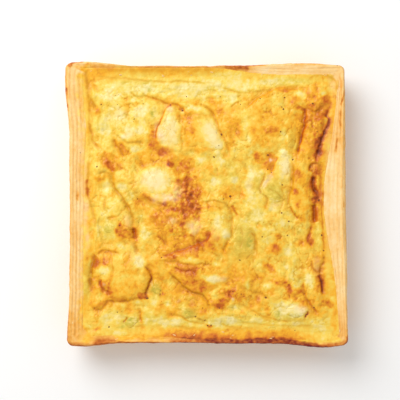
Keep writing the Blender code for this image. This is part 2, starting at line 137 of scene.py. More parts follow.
# Folds and cracks in the skin: depth, half-width, how far the left side stands above the right
# side, how toasted the line is from 0 to 1, how olive and shaded it is, then its points
FOLDS = {
    "left_rim_valley": (1.2, 1.8, 0.0, 0.52, 0.50, (-88, 97), (-86.5, 90), (-85.5, 80), (-84, 76),
        (-81.5, 71), (-80, 67)),
    "left_rim_branch": (1.0, 1.4, 0.0, 0.56, 0.42, (-84.5, 80), (-84.5, 60), (-83, 50), (-81.5, 45),
        (-77, 39)),
    "left_rim_middle": (0.9, 1.4, 0.0, 0.46, 0.35, (-84, 36), (-85.3, 24), (-85.5, 8), (-84, 0),
        (-81, -8), (-80, -16)),
    "left_slot": (1.5, 1.6, 0.0, 0.76, 0.20, (-86, 18), (-86.2, 12), (-85.7, 5)),
    "left_long": (1.5, 1.4, 0.6, 0.50, 0.55, (-67, 23), (-67.5, 15), (-66.5, 11), (-64, 8), (-61, 5),
        (-59, 2), (-57, -1), (-55, -5), (-54, -8), (-53, -12), (-52.5, -16)),
    "left_long_scorch": (1.0, 1.3, 0.6, 0.72, 0.08, (-70.5, 31), (-69, 27), (-68, 24)),
    "left_long_pit": (1.8, 1.9, 0.8, 0.72, 0.25, (-52.5, -17), (-52.3, -21), (-52, -25)),
    "left_long_foot": (1.0, 1.0, 0.3, 0.50, 0.40, (-51.5, -27), (-51, -30), (-50, -34)),
    "left_inner": (0.7, 0.9, 0.3, 0.45, 0.35, (-72.5, 6), (-73.5, 1), (-74, -5)),
    "left_pale_rim": (0.6, 0.8, -0.4, 0.35, 0.30, (-77, -9), (-78, -14), (-77, -20), (-75, -28),
        (-78, -32)),
    "back_corner": (0.5, 0.9, 0.0, 0.52, 0.20, (-82, 86), (-80, 84), (-78, 80)),
    "back_left_short": (0.6, 0.8, 0.3, 0.45, 0.35, (-55, 80), (-51, 77.5), (-46, 76)),
    "back_left_fold": (0.9, 1.2, 0.4, 0.62, 0.50, (-67, 47), (-65, 42), (-62, 38), (-60, 34)),
    "back_left_hem": (0.6, 0.9, 0.4, 0.42, 0.25, (-64, 49), (-59, 45), (-52, 44), (-46, 45)),
    "over_triangle": (0.8, 1.1, 0.4, 0.62, 0.20, (-46, 78), (-36, 75), (-30, 72.5), (-26, 72),
        (-22, 71.5), (-19, 69), (-17, 67)),
    "triangle_left": (0.9, 0.9, 0.4, 0.72, 0.1, (-28, 71), (-31, 67), (-33, 61), (-36, 54), (-37, 47)),
    "slab_right": (1.0, 1.0, 0.6, 0.55, 0.35, (-5, 72), (0, 69), (3, 66), (5, 62), (7, 57), (9, 52),
        (12, 47), (14, 43), (15, 37), (16, 34)),
    "back_short": (0.5, 0.8, 0.3, 0.52, 0.40, (16, 70), (20, 72), (23, 73)),
    "back_shorter": (0.4, 0.7, 0.3, 0.50, 0.40, (21, 77), (24, 78)),
    "plateau_edge": (0.9, 1.0, -0.7, 0.56, 0.25, (27, 68), (35, 76), (40, 78), (45, 81), (52, 84),
        (60, 82.5), (65, 83)),
    "right_slash": (1.3, 1.1, 0.8, 0.84, 0.0, (67, 69), (69.5, 67), (69.5, 62), (69, 55), (68, 50),
        (66.5, 45), (65.5, 40), (65, 36)),
    "right_ridge": (0.6, 1.0, 0.4, 0.66, 0.10, (70, 70), (77, 66), (83, 70)),
    "right_gap": (1.9, 1.7, -0.6, 0.95, 0.0, (88, 73), (86, 67), (85, 63), (86.5, 61), (86, 57), (84, 53),
        (82.5, 49), (80.5, 44), (79, 40), (78, 35), (77, 31)),
    "right_arc": (0.8, 0.9, 0.0, 0.64, 0.45, (73, 26), (76, 29), (79, 29), (81, 26)),
    "right_chasm": (2.0, 2.8, -0.6, 0.93, 0.0, (76, 21), (75, 17), (74.5, 12), (76, 10), (78, 7),
        (79.5, 3)),
    "right_chasm_low": (2.2, 2.0, 0.0, 0.78, 0.15, (76, 0), (76.5, -7), (77, -13)),
    "right_rim_line": (1.0, 0.8, 0.0, 0.68, 0.20, (80.5, 30), (81, 20), (81, 10), (81.3, 0), (82, -8),
        (82.5, -20), (83.5, -34)),
    "tongue_side": (1.3, 1.1, 0.8, 0.52, 0.60, (61.5, 30), (61, 24), (61, 17), (60, 11), (58.5, 8),
        (57.5, 4), (57.5, 1), (59, -1)),
    "tongue_tip": (1.2, 1.0, 0.8, 0.68, 0.25, (59, -1), (61, -5), (65, -10.5)),
    "brown_pocket": (0.9, 0.9, 0.5, 0.70, 0.15, (50, 34), (47, 27), (45, 24)),
    "centre_scorch": (1.1, 1.3, 0.6, 0.80, 0.05, (2, -19), (1, -22), (0, -25), (-3, -27), (-7, -28),
        (-10.5, -30)),
    "centre_low": (0.9, 1.1, 0.5, 0.76, 0.15, (-11, -30), (-14, -31), (-20, -33), (-33, -38)),
    "leek_side": (0.6, 1.0, 0.3, 0.48, 0.60, (30, -19), (33.5, -23), (35, -28), (33.5, -34)),
    "leek_vein": (0.3, 0.8, 0.2, 0.40, 0.40, (24, -16), (25, -24), (23, -32)),
    "chasm_loop": (0.7, 0.9, 0.3, 0.76, 0.20, (72.5, 24), (73.5, 28), (76.5, 29.5), (79, 28)),
    "middle_line": (1.1, 0.9, 0.5, 0.46, 0.60, (13.5, 1), (15, -2), (16.5, -5), (17.5, -8), (17.5, -12),
        (17, -22), (16, -25)),
    "middle_line_foot": (1.3, 0.9, 0.5, 0.58, 0.55, (16, -25), (14, -27), (11.5, -34)),
    "middle_branch": (0.8, 0.9, 0.0, 0.68, 0.25, (17, -1), (19, -4), (22, -8)),
    "front_fold": (1.5, 0.9, 0.9, 0.62, 0.32, (-27, -49), (-24, -52), (-21, -55), (-18, -58), (-14, -61),
        (-10, -63), (-5, -64.5), (-2, -66.5), (0, -69), (1, -72), (1.5, -77)),
    "fold_top": (0.7, 1.0, 0.4, 0.58, 0.20, (-35, -40), (-24, -41), (-12, -43), (-4, -42), (4, -44)),
    "olive_crack": (1.5, 1.0, -0.8, 0.76, 0.75, (-44.5, -44.5), (-42, -47), (-40.5, -50), (-40, -53),
        (-41, -55), (-42.5, -58), (-44, -62), (-44.5, -65)),
    "bubble_foot": (0.9, 1.4, 0.5, 0.64, 0.05, (-83, -73), (-80, -75), (-76, -75), (-73, -72), (-70, -69),
        (-66, -69.5), (-60, -69), (-55, -68.5), (-50, -66.5)),
    "bubble_left": (1.6, 1.8, 0.9, 0.64, 0.75, (-79, -36), (-82, -43), (-83, -47), (-84, -56), (-84, -62)),
    "bubble_split": (0.6, 0.8, 0.3, 0.55, 0.25, (-69, -36), (-68, -42), (-67, -48)),
    "bubble_inner": (0.5, 1.2, 0.2, 0.52, 0.20, (-55, -36), (-57, -41), (-62, -43)),
    "foot_hook": (1.0, 0.9, 0.4, 0.64, 0.40, (-48.5, -74), (-48.5, -79), (-47.5, -83)),
    "leek_slit": (1.0, 0.7, 0.3, 0.72, 0.60, (-57, -81), (-60, -84.5)),
    "front_pale_line": (0.6, 0.8, 0.3, 0.42, 0.20, (10, -85), (16, -87.5), (22, -89), (28, -88.5)),
    "front_left_line": (0.5, 0.8, 0.3, 0.42, 0.25, (-24, -87), (-16, -88.5), (-8, -89)),
    "right_notch": (1.6, 1.1, 0.3, 0.80, 0.30, (75, -15), (73.5, -19), (74, -21), (72, -25), (73, -28),
        (75, -29)),
    "right_front_slit": (1.4, 1.1, 0.0, 0.62, 0.55, (83.5, -37), (83, -42), (81, -45), (80, -50)),
    "right_front_gap": (2.0, 1.5, 0.0, 0.95, 0.10, (79.5, -50), (80.5, -53), (81.5, -55), (82, -60),
        (82, -64)),
    "right_front_fold": (0.9, 0.9, 0.3, 0.62, 0.40, (74, -40), (75, -45), (79, -49)),
    "right_front_edge": (0.6, 0.7, 0.0, 0.62, 0.20, (92, -60), (92.5, -64), (93.5, -68)),
    "corner_fold": (0.9, 0.9, 0.5, 0.66, 0.20, (68, -56), (68.5, -61), (70, -66), (73, -70), (75, -73),
        (79, -78)),
    "corner_hole": (1.8, 0.8, 0.0, 0.92, 0.60, (71.5, -76.5), (72, -78.5), (70.5, -79), (70, -81.5)),
    "front_right_under": (0.5, 1.0, 0.3, 0.48, 0.12, (22, -70), (32, -76), (41, -80), (50, -83),
        (60, -83)),
    "leaf_edge": (0.8, 0.8, 0.4, 0.45, 0.60, (41, 25), (40, 18), (37.5, 13), (38, 9), (40, 7), (42, 5),
        (42.5, 2), (41, -3)),
    "leaf_rib": (0.4, 0.6, 0.2, 0.40, 0.40, (43, 11), (48, 9), (53, 5), (56, 1)),
    "right_arc_back": (0.7, 0.9, 0.4, 0.66, 0.25, (73, 66), (79, 67), (82, 70), (86, 72)),
    "corner_ridge": (0.5, 1.0, 0.4, 0.46, 0.35, (72, 90), (78, 92), (84, 92.3), (89, 90.5), (92, 86.5),
        (92, 81)),
    "slab_top": (0.5, 0.9, -0.4, 0.50, 0.30, (-17, 62.5), (-9, 64), (0, 63.5)),
    "slab_left": (0.4, 1.0, 0.2, 0.54, 0.10, (-17.5, 62), (-18.5, 52), (-18, 42)),
    "front_arc": (0.9, 1.0, 0.5, 0.78, 0.10, (-24, -45), (-20, -46.5), (-15, -47.8), (-9, -46.8)),
    "front_olive": (0.5, 0.8, 0.3, 0.50, 0.60, (-8, -81), (-3, -83), (-1, -82)),
    "left_arc": (0.4, 0.8, 0.3, 0.50, 0.30, (-72, -10), (-69, -9), (-66, -9.5)),
    "hatch_a": (0.5, 0.7, 0.2, 0.66, 0.10, (-46, 7), (-43, 4.5), (-40, 2)),
    "hatch_b": (0.4, 0.7, 0.2, 0.66, 0.10, (-39.5, -8), (-38, -11), (-37.5, -14)),
    "hatch_c": (0.4, 0.7, 0.2, 0.62, 0.10, (-35, -3), (-29, -9), (-25, -15)),
    "bubble_back": (0.7, 1.1, 0.6, 0.60, 0.25, (-79, -36), (-75, -33), (-68, -33.5), (-62, -36)),
    "bubble_ring": (0.8, 0.9, 0.4, 0.80, 0.05, (-76, -53), (-77, -57), (-75, -60), (-71, -62.5),
        (-69, -65)),
    "long_curl": (0.5, 0.8, 0.3, 0.45, 0.35, (-78, 22), (-74, 23), (-70, 21), (-68, 17)),
    "centre_lip": (0.5, 0.9, 0.4, 0.58, 0.15, (-34, -14), (-30, -24), (-31, -32)),
    "middle_top": (0.5, 0.8, 0.3, 0.50, 0.30, (-3, 2), (4, 2.5), (10, 1), (14, 1)),
    "right_middle": (0.4, 0.8, 0.3, 0.46, 0.35, (33, -20), (35, -26), (35, -34), (32, -42)),
    "front_right_line": (0.5, 0.8, 0.3, 0.52, 0.25, (22, -57), (30, -62), (38, -64), (44, -68)),
    "front_wave": (0.5, 0.9, 0.3, 0.48, 0.25, (-30, -78), (-20, -80), (-12, -84), (0, -85)),
    "front_far_wave": (0.3, 0.9, 0.2, 0.40, 0.10, (20, -84), (40, -86), (60, -87), (76, -86)),
    "back_wave": (0.4, 0.9, 0.3, 0.42, 0.30, (-82, 92), (-60, 90), (-40, 88), (-20, 88), (0, 87)),
    "back_right_wave": (0.4, 0.9, 0.2, 0.40, 0.30, (10, 84), (22, 80), (34, 80), (42, 82)),
    "back_rim_shade": (0.0, 2.2, 0.0, 0.50, 0.36, (-80, 97), (-50, 96.5), (-20, 96.5), (10, 96.5)),
    "front_scorch": (0.0, 1.7, 0.0, 0.96, 0.0, (-22, -96.3), (-12, -96.5), (0, -96.6), (10, -96.9),
        (22, -97.2)),
    "front_scorch_right": (0.0, 2.0, 0.0, 0.97, 0.0, (26, -97.2), (40, -96.8), (54, -96.9), (64, -98.2)),
    "thin_a": (0.5, 0.7, 0.3, 0.44, 0.40, (6.5, 26), (7, 20)),
    "thin_b": (0.5, 0.8, 0.3, 0.52, 0.35, (23, 13), (24, 10), (23.5, 4)),
    "thin_c": (0.5, 0.7, 0.3, 0.46, 0.45, (54, 2), (52, -3), (52, -7)),
    "thin_d": (0.5, 0.7, 0.3, 0.48, 0.40, (62, -16), (61.5, -23)),
    "thin_e": (0.5, 0.8, 0.3, 0.50, 0.30, (-10, 31), (-10.5, 28), (-9.5, 26)),
}

# Toasted and pale washes on the skin, laid on in this order: x, y, half-widths, turn, how toasted, how
# strong
WASHES = {
    "ground": (
        (-62, 68, 27, 30, 0, 0.20, 0.9), (0, 84, 60, 9, 0, 0.13, 0.9), (45, 62, 22, 20, 0, 0.42, 0.85),
        (76, 60, 13, 32, -8, 0.46, 0.9), (-70, 4, 18, 34, 0, 0.27, 0.9), (-62, -52, 23, 18, 0, 0.40, 0.9),
        (-62, -82, 26, 12, 0, 0.26, 0.9), (-24, -10, 22, 30, 0, 0.48, 0.85),
        (8, 5, 16, 34, 0, 0.30, 0.85), (40, -5, 22, 36, 0, 0.25, 0.85), (66, 8, 8, 28, 0, 0.38, 0.85),
        (-10, -52, 26, 16, -10, 0.51, 0.85), (25, -55, 26, 16, 0, 0.50, 0.8),
        (-12, -71, 24, 8, 0, 0.46, 0.8), (62, -60, 22, 16, 0, 0.38, 0.85),
        (10, -84.5, 58, 5.5, 0, 0.14, 0.9), (10, -92, 58, 4, 0, 0.50, 0.85),
        (80, -88, 14, 8, 0, 0.27, 0.85), (62, -28, 14, 16, 0, 0.23, 0.8),
    ),
    "back left": (
        (-84, 87, 4, 7, 0, 0.46, 0.8), (-78, 93, 6, 4, 0, 0.50, 0.8), (-66, 90, 7, 2.5, 0, 0.42, 0.7),
        (-73, 98, 9, 3.5, 0, 0.62, 0.9), (-60, 74, 4, 3, -30, 0.42, 0.8),
        (-53, 71.5, 3.5, 2.6, 0, 0.45, 0.8), (-58, 69, 4, 2.6, 0, 0.46, 0.7),
        (-79, 66, 2.4, 3.6, 0, 0.62, 0.95), (-68, 65, 2.5, 1.4, 0, 0.38, 0.7),
        (-67, 53, 2.4, 4, 20, 0.42, 0.8), (-62, 51, 3, 3, 0, 0.40, 0.6),
        (-51, 44.5, 6.5, 1.7, 4, 0.48, 0.9), (-75, 55, 7, 6, 0, 0.08, 0.8), (-72, 78, 8, 4, 0, 0.10, 0.7),
        (-62, 63, 4, 4, 0, 0.10, 0.7), (-46, 67, 5, 6, 0, 0.04, 0.85), (-46, 82, 7, 3.6, 0, 0.06, 0.8),
        (-52, 53, 6, 3.2, 0, 0.08, 0.8), (-60, 47.5, 4.6, 2.4, 20, 0.03, 0.9),
        (-51, 39.5, 4.5, 3.4, 0, 0.06, 0.8), (-62, 41, 3.2, 6, 32, 0.66, 0.8),
        (-58, 37, 3, 3.4, 20, 0.60, 0.7), (-47, 36, 6, 3, 0, 0.50, 0.7), (-80, 78, 3, 4, 20, 0.12, 0.5),
        (-70, 43, 5, 4, 0, 0.22, 0.5), (-50, 60, 6, 2.2, 0, 0.26, 0.6), (-56, 90, 9, 3, 0, 0.18, 0.7),
        (-35, 90, 10, 3, 0, 0.22, 0.6),
    ),
    "back": (
        (-30, 96, 32, 2.4, 0, 0.46, 0.85), (5, 93.5, 5, 2, 0, 0.10, 0.8), (24, 93, 10, 2, 0, 0.20, 0.6),
        (3, 75, 3.4, 4, 30, 0.46, 0.85), (8, 70.5, 4.5, 2.6, -40, 0.50, 0.85),
        (12, 65, 3.6, 2, 0, 0.56, 0.8), (19, 75, 4.6, 4, 0, 0.04, 0.85), (27, 76.5, 3.5, 2, 0, 0.52, 0.7),
        (34, 73, 4, 5, 0, 0.50, 0.7), (20, 54, 4, 8, 0, 0.52, 0.8), (26, 58, 3, 5, 0, 0.12, 0.7),
        (13, 57, 2.6, 5, 0, 0.40, 0.7), (22, 42, 4, 5, 0, 0.16, 0.8), (33, 52, 3, 5, 0, 0.52, 0.8),
        (30, 46, 3, 5, 0, 0.14, 0.6), (-10, 84, 14, 3, 0, 0.05, 0.7), (-22, 88, 5, 2, 0, 0.24, 0.6),
        (10, 80, 6, 1.6, 20, 0.24, 0.6), (34, 84, 5, 3, 0, 0.22, 0.6), (-24, 79, 9, 2.4, 0, 0.20, 0.6),
        (-18.5, 67.5, 2.2, 1.2, -30, 0.84, 0.9), (-27, 70.5, 2.0, 1.0, 30, 0.82, 0.8),
        (-9, 69, 11, 2.4, -14, 0.04, 0.85), (15, 71, 4, 2, 30, 0.10, 0.6), (22, 66, 7, 3, 0, 0.28, 0.6),
    ),
    "round the cheese": (
        (-12.5, 52, 4.8, 12, 2, 0.54, 0.97), (-4, 59, 5, 4, 0, 0.42, 0.9),
        (-27, 54, 7, 14, 12, 0.07, 0.95), (-29, 46, 6, 4, 0, 0.14, 0.8), (3, 50, 6.5, 11, 16, 0.05, 0.95),
        (8, 43, 4.5, 5, 0, 0.10, 0.8), (-2, 39.5, 12, 1.3, -4, 0.44, 0.8),
        (-38.5, 49, 3.0, 7.5, 0, 0.62, 0.95), (-39, 43, 4, 5, 0, 0.60, 0.8),
        (-32, 38.5, 8, 4, -12, 0.62, 0.9), (-12, 36, 5, 2.6, 0, 0.24, 0.7), (-22, 37, 4, 3, 0, 0.36, 0.7),
        (-21, 63, 2, 4, 20, 0.50, 0.7), (-38, 17.5, 12, 9, 6, 0.02, 0.97), (-33, 8, 9, 4, 0, 0.20, 0.8),
        (-53, 14, 1.6, 8, 0, 0.42, 0.8), (-49, 8, 3, 3, 0, 0.36, 0.6), (-42, 4.5, 6, 2.2, -26, 0.58, 0.8),
        (-44, 30, 9, 3.6, 12, 0.50, 0.85), (-50, 25, 4, 3, 0, 0.32, 0.7), (-36, 33, 5, 3, 0, 0.56, 0.7),
        (56, -75, 11, 7, -10, 0.07, 0.95), (65, -77, 7, 4, -15, 0.03, 0.9), (47, -76, 5, 6, 0, 0.16, 0.7),
    ),
    "back right": (
        (48, 76, 9, 4, 14, 0.36, 0.7), (55, 82, 8, 1.7, 0, 0.60, 0.9), (43, 79, 4, 1.6, 40, 0.54, 0.8),
        (58, 67, 7, 5, 0, 0.42, 0.7), (51, 72, 5, 3, 0, 0.22, 0.8), (45, 54, 5.5, 4.5, 0, 0.60, 0.85),
        (38, 60, 5, 5, 0, 0.48, 0.6), (56, 60, 5, 4, 0, 0.30, 0.6), (38, 46, 5, 5, 0, 0.50, 0.7),
        (54, 50, 3, 4, 0, 0.12, 0.8), (61, 60, 3, 8, 0, 0.46, 0.6), (62, 75, 3.6, 3.6, 0, 0.62, 0.8),
        (72, 82, 6, 4, 30, 0.54, 0.7), (76, 75, 7, 6, 0, 0.54, 0.8), (85, 75, 3, 3, 0, 0.76, 0.85),
        (72, 61, 4, 8, 0, 0.58, 0.8), (80, 62, 3.5, 8, -14, 0.60, 0.7), (82.5, 80, 2, 2.6, 0, 0.08, 0.8),
        (66.5, 79, 2.6, 2.2, -30, 0.05, 0.85), (75, 45, 5, 9, -10, 0.56, 0.8),
        (63, 43, 2, 5, 0, 0.22, 0.7), (88, 84, 3, 3, 0, 0.22, 0.7), (79, 90, 8, 2, 0, 0.40, 0.7),
        (66, 88, 10, 2.4, 0, 0.24, 0.7), (47, 88, 10, 3.6, 0, 0.08, 0.8),
        (65, 69, 3, 1.6, -30, 0.68, 0.7), (81.5, 45, 2, 8, -22, 0.70, 0.7),
        (74, 70, 4, 1.4, -10, 0.68, 0.6), (78.5, 36, 2.6, 5.5, -16, 0.90, 0.9),
        (80, 44, 2, 5, -24, 0.86, 0.8), (85, 60, 1.6, 4, 0, 0.20, 0.5), (72, 33, 4, 5, 0, 0.44, 0.6),
        (63, 33, 3, 5, 0, 0.46, 0.6), (79, 70, 3, 2, 20, 0.46, 0.5),
    ),
    "right": (
        (36, 33, 3.6, 4, 0, 0.78, 0.85), (41, 28, 5.5, 3.4, 10, 0.62, 0.9),
        (45, 34, 4, 3.6, 0, 0.64, 0.8), (46, 26, 3, 5, -14, 0.60, 0.8), (55, 29, 4.4, 12, 0, 0.02, 0.95),
        (64, 21, 3, 5, 0, 0.64, 0.9), (68, 14, 3, 6, 0, 0.40, 0.7), (62.8, 9, 2.4, 3, 0, 0.66, 0.85),
        (65, 1, 4, 3, 0, 0.62, 0.85), (70, -3, 3, 7, 0, 0.40, 0.7), (66, -9, 3, 4, 20, 0.50, 0.7),
        (70, 26, 2, 3, 0, 0.24, 0.7), (72.5, 20, 1.6, 5, 0, 0.30, 0.6), (78.5, 24, 3, 4, 0, 0.64, 0.85),
        (81, 12, 1.2, 12, 0, 0.62, 0.8), (77, -6, 2.4, 8, 0, 0.76, 0.9), (37, 22, 4, 3, 0, 0.08, 0.7),
        (42, 0, 1.8, 4, -16, 0.48, 0.85), (36, -8, 5, 4, 0, 0.10, 0.7),
        (46.5, -11.5, 3, 3, 30, 0.42, 0.9), (37, -16, 3, 2.4, 0, 0.50, 0.8), (50, 18, 6, 2, 0, 0.38, 0.7),
        (50, -23, 4, 2.6, -30, 0.60, 0.85), (49.5, -31, 5, 5, 0, 0.64, 0.9),
        (44, -33, 3, 3, 0, 0.56, 0.6), (57, -14, 5, 4, 0, 0.14, 0.7), (60, -5, 4, 5, 0, 0.08, 0.8),
        (58, -20, 6, 2.4, 0, 0.38, 0.6), (67, -28, 4, 3, 0, 0.56, 0.85), (57, -33, 4, 3, 0, 0.06, 0.8),
        (74, -26, 1.9, 4, 14, 0.76, 0.9), (80, -22, 3, 12, 0, 0.28, 0.8),
        (75.5, 14, 2.6, 6, 0, 0.90, 0.8), (77.5, 5, 2, 4, -20, 0.86, 0.8), (46, -3, 4, 3, 0, 0.06, 0.6),
        (52, -5, 3, 4, 0, 0.10, 0.6), (42, -25, 4, 5, 0, 0.16, 0.6), (71, -14, 2, 3, 0, 0.14, 0.7),
    ),
    "middle": (
        (-16, 27, 6.5, 6.5, 0, 0.62, 0.95), (-27, 28.7, 2.6, 2.2, 0, 0.78, 0.95),
        (-22, 26, 3, 2.5, 0, 0.66, 0.6), (-6.5, 31, 4, 4, 0, 0.10, 0.85), (-7, 20, 4, 4, 0, 0.42, 0.8),
        (1.8, 25.5, 2.4, 4.5, 10, 0.50, 0.8), (6, 16, 4.6, 3.6, 0, 0.04, 0.85),
        (3, 6.5, 3.4, 3, 0, 0.34, 0.7), (14.5, 7.5, 5, 5, 0, 0.54, 0.9), (12, 13, 4, 2.6, 0, 0.42, 0.6),
        (19, 17, 2.6, 4, 20, 0.06, 0.8), (12, 26, 2.2, 4, 0, 0.40, 0.7), (25, 22, 3, 4, 0, 0.42, 0.7),
        (31, 22, 2.6, 5, 0, 0.04, 0.8), (28, 12, 2.6, 5, 0, 0.10, 0.8), (24.5, 6, 2, 5, 0, 0.50, 0.85),
        (32, 4, 3, 5, 0, 0.10, 0.7), (28.5, -4, 2.4, 2.4, 0, 0.44, 0.7), (10, 31, 4, 4, 0, 0.10, 0.8),
        (22, 30, 5, 3, 0, 0.34, 0.6), (-15.5, 15, 4.6, 4.6, 0, 0.76, 0.85),
        (-14.5, 10.5, 4, 3.4, 0, 0.92, 0.85), (-16.5, 4, 5, 3.8, 12, 0.93, 0.9),
        (-12.5, 7.5, 3.4, 2.2, 0, 0.88, 0.7), (-12.5, 0.6, 3, 2.2, -40, 0.82, 0.8),
        (-22, 2, 2, 1.6, 30, 0.80, 0.6), (-5, 10, 3.6, 6, 0, 0.56, 0.8), (-2, 0, 6, 2.4, 0, 0.50, 0.8),
        (6, -2, 6, 2.6, 0, 0.48, 0.7), (7, -12, 4, 5, 0, 0.07, 0.85), (0, -11, 4, 5, 0, 0.34, 0.6),
        (-7, -7, 3, 6, 0, 0.58, 0.8), (-15, -6.5, 3.6, 2.6, 14, 0.84, 0.9),
        (-7.5, -3.6, 4.4, 1.1, 14, 0.74, 0.8), (-16.8, -12, 1.2, 4, 0, 0.78, 0.8),
        (-17.5, -16, 2, 1.6, 0, 0.84, 0.8), (-11, -17, 4, 3.4, 0, 0.28, 0.7),
        (-25, -12, 3, 2, 0, 0.18, 0.8), (-22, 8.5, 3, 5, 0, 0.28, 0.7), (-21, 0, 4, 3, 0, 0.34, 0.6),
        (-30, 0, 2.2, 1.5, -40, 0.86, 0.9), (-31, -8, 3, 2, 0, 0.66, 0.6), (-31, -20, 5, 5, 0, 0.54, 0.7),
        (-20, -22, 6, 3, 0, 0.40, 0.6), (-36, -14, 3, 4, 0, 0.60, 0.7), (13, -20, 3.4, 6, 0, 0.08, 0.85),
        (4, -27, 5, 3, 10, 0.58, 0.8), (-7, -31, 7, 2.4, 16, 0.76, 0.85), (8, -33, 6, 4, 0, 0.50, 0.8),
        (-20, -34, 9, 2.4, 12, 0.62, 0.85), (-26, -33, 4, 2, 0, 0.30, 0.5),
        (0, -22, 2.4, 2.4, 0, 0.66, 0.7), (18.5, -3.5, 2, 3, 20, 0.60, 0.8),
        (-20, 16, 2, 5, 0, 0.60, 0.6), (-18, 20, 4, 2, 0, 0.40, 0.6), (-14, 8, 8, 12, 8, 0.76, 0.7),
        (-18, -6, 11, 10, 0, 0.66, 0.6), (-12, -27, 16, 9, 10, 0.60, 0.55),
        (-31, -5, 7, 8, 0, 0.62, 0.45),
    ),
    "left": (
        (-78, 18, 3.6, 2.4, 0, 0.52, 0.85), (-72, 20, 5, 3, 10, 0.54, 0.8),
        (-70.5, 31, 5.5, 5, 0, 0.62, 0.9), (-69, 27, 2, 4, 20, 0.80, 0.8),
        (-76, 36, 5, 2.4, 0, 0.52, 0.8), (-65, 35, 3, 2.4, 0, 0.54, 0.7),
        (-73, 12, 4.4, 3.6, 0, 0.12, 0.8), (-63.5, 28, 3.4, 3.4, 0, 0.48, 0.9),
        (-63, 19, 4, 3, 0, 0.38, 0.7), (-61, 12, 3.4, 3.4, 30, 0.06, 0.85),
        (-56, 6, 3, 4.4, 0, 0.06, 0.85), (-64, 2, 4, 4, 0, 0.14, 0.6), (-72, -5, 4, 4.4, 0, 0.12, 0.7),
        (-78, -18, 2, 8, 0, 0.06, 0.7), (-73, -18, 4, 5, 0, 0.20, 0.7), (-62, -19, 3.4, 6, 0, 0.68, 0.95),
        (-62.6, -15.5, 0.9, 2.4, 0, 0.92, 0.9), (-57, -20, 3, 6, 0, 0.52, 0.8),
        (-64, -27, 5, 2.4, 0, 0.46, 0.8), (-60, -30, 6, 3, 0, 0.12, 0.7),
        (-84, -12, 2.6, 12, 0, 0.42, 0.7), (-48, 1, 4.4, 4.6, 0, 0.56, 0.95),
        (-43, -6, 3.4, 3.4, 0, 0.40, 0.6), (-38, -11, 3.4, 6, 0, 0.60, 0.85),
        (-45, -21, 4.4, 5, 0, 0.05, 0.85), (-48, -9, 2.4, 3, 0, 0.14, 0.6),
        (-47, -31, 3, 3, 0, 0.28, 0.6), (-52, -21, 2, 5, 0, 0.70, 0.8), (-57, 24, 3, 3, 0, 0.14, 0.6),
        (-80, 6, 4, 6, 0, 0.40, 0.6), (-66, -9.5, 5, 1.4, 0, 0.46, 0.7), (-56, -8, 3, 6, 20, 0.14, 0.6),
        (-41, -30, 4, 5, 0, 0.40, 0.5), (-34, -5, 4, 3, -20, 0.50, 0.6),
    ),
    "front left": (
        (-79.5, -40.5, 2.6, 4.6, 8, 0.78, 0.95), (-73, -39, 4.6, 5, 0, 0.60, 0.9),
        (-64, -37, 4, 3.4, 0, 0.24, 0.8), (-73, -47.5, 4.6, 3.2, 0, 0.03, 0.95),
        (-84.5, -46, 1.3, 7, 0, 0.08, 0.7), (-83, -58, 2.4, 6, 0, 0.56, 0.8),
        (-73.5, -57, 4, 3.6, 0, 0.80, 0.95), (-70, -52.5, 2.6, 3.2, 0, 0.60, 0.8),
        (-71, -62, 4, 3, -40, 0.68, 0.9), (-68, -62.5, 1.5, 1.3, 0, 0.78, 0.8),
        (-77, -66, 3.6, 2.6, 0, 0.30, 0.9), (-82, -70, 3, 4, 0, 0.54, 0.7),
        (-75, -71.5, 5, 2, 12, 0.60, 0.9), (-60, -62, 9, 4.6, 0, 0.47, 0.8),
        (-65, -67, 6, 1.8, 0, 0.62, 0.8), (-62, -50, 5, 6, 0, 0.26, 0.6),
        (-52, -50, 4, 2, -30, 0.50, 0.7), (-57, -41, 2, 3.6, -20, 0.56, 0.8),
        (-49, -41, 4, 5, 14, 0.03, 0.95), (-51, -53, 5, 4, 0, 0.36, 0.6),
        (-46.5, -65, 3.4, 2.6, 0, 0.88, 0.95), (-62, -73.5, 3, 2, 0, 0.42, 0.95),
        (-73, -81, 5, 4, 20, 0.14, 0.8), (-80, -81, 2.4, 6, 0, 0.44, 0.8),
        (-79, -89, 4, 1.5, 40, 0.62, 0.85), (-63, -80, 4, 3, 0, 0.05, 0.8),
        (-55, -75, 3.2, 4.6, 0, 0.52, 0.85), (-50.5, -70, 3, 2, 0, 0.08, 0.8),
        (-47.5, -82, 1.8, 3, 0, 0.70, 0.8), (-64, -91, 10, 2.4, 0, 0.16, 0.7),
        (-49, -87, 4, 2, 0, 0.50, 0.6), (-40, -90, 5, 3, 0, 0.38, 0.7), (-37, -76, 4, 4, 0, 0.52, 0.8),
        (-39, -70, 3, 3, 0, 0.16, 0.8), (-67, -44, 2, 4, 0, 0.20, 0.5), (-85, -88, 4, 6, 0, 0.36, 0.6),
        (-68, -56, 1.4, 2, 0, 0.20, 0.6), (-43, -75, 3, 4, 0, 0.20, 0.6),
    ),
    "front": (
        (-20, -37, 12, 2, 0, 0.60, 0.8), (-12, -40, 8, 1.8, 0, 0.14, 0.85),
        (-17, -43.5, 7, 1.8, 4, 0.56, 0.8), (-9.5, -46, 2.6, 3, 0, 0.80, 0.95),
        (-18, -47, 6, 1.4, 0, 0.68, 0.85), (-12, -54, 6, 4.4, -30, 0.62, 0.9),
        (-6, -59, 4.6, 3, -14, 0.82, 0.95), (-3, -48, 5, 2, 0, 0.34, 0.7), (5, -47.5, 6, 2, 0, 0.42, 0.8),
        (3, -53, 6.5, 2.8, -4, 0.04, 0.95), (12, -53, 2, 5, 0, 0.40, 0.7), (6, -43, 6, 1.8, 0, 0.12, 0.8),
        (4.5, -64, 3, 3, 20, 0.16, 0.85), (-26, -54, 4, 3.6, -30, 0.22, 0.8),
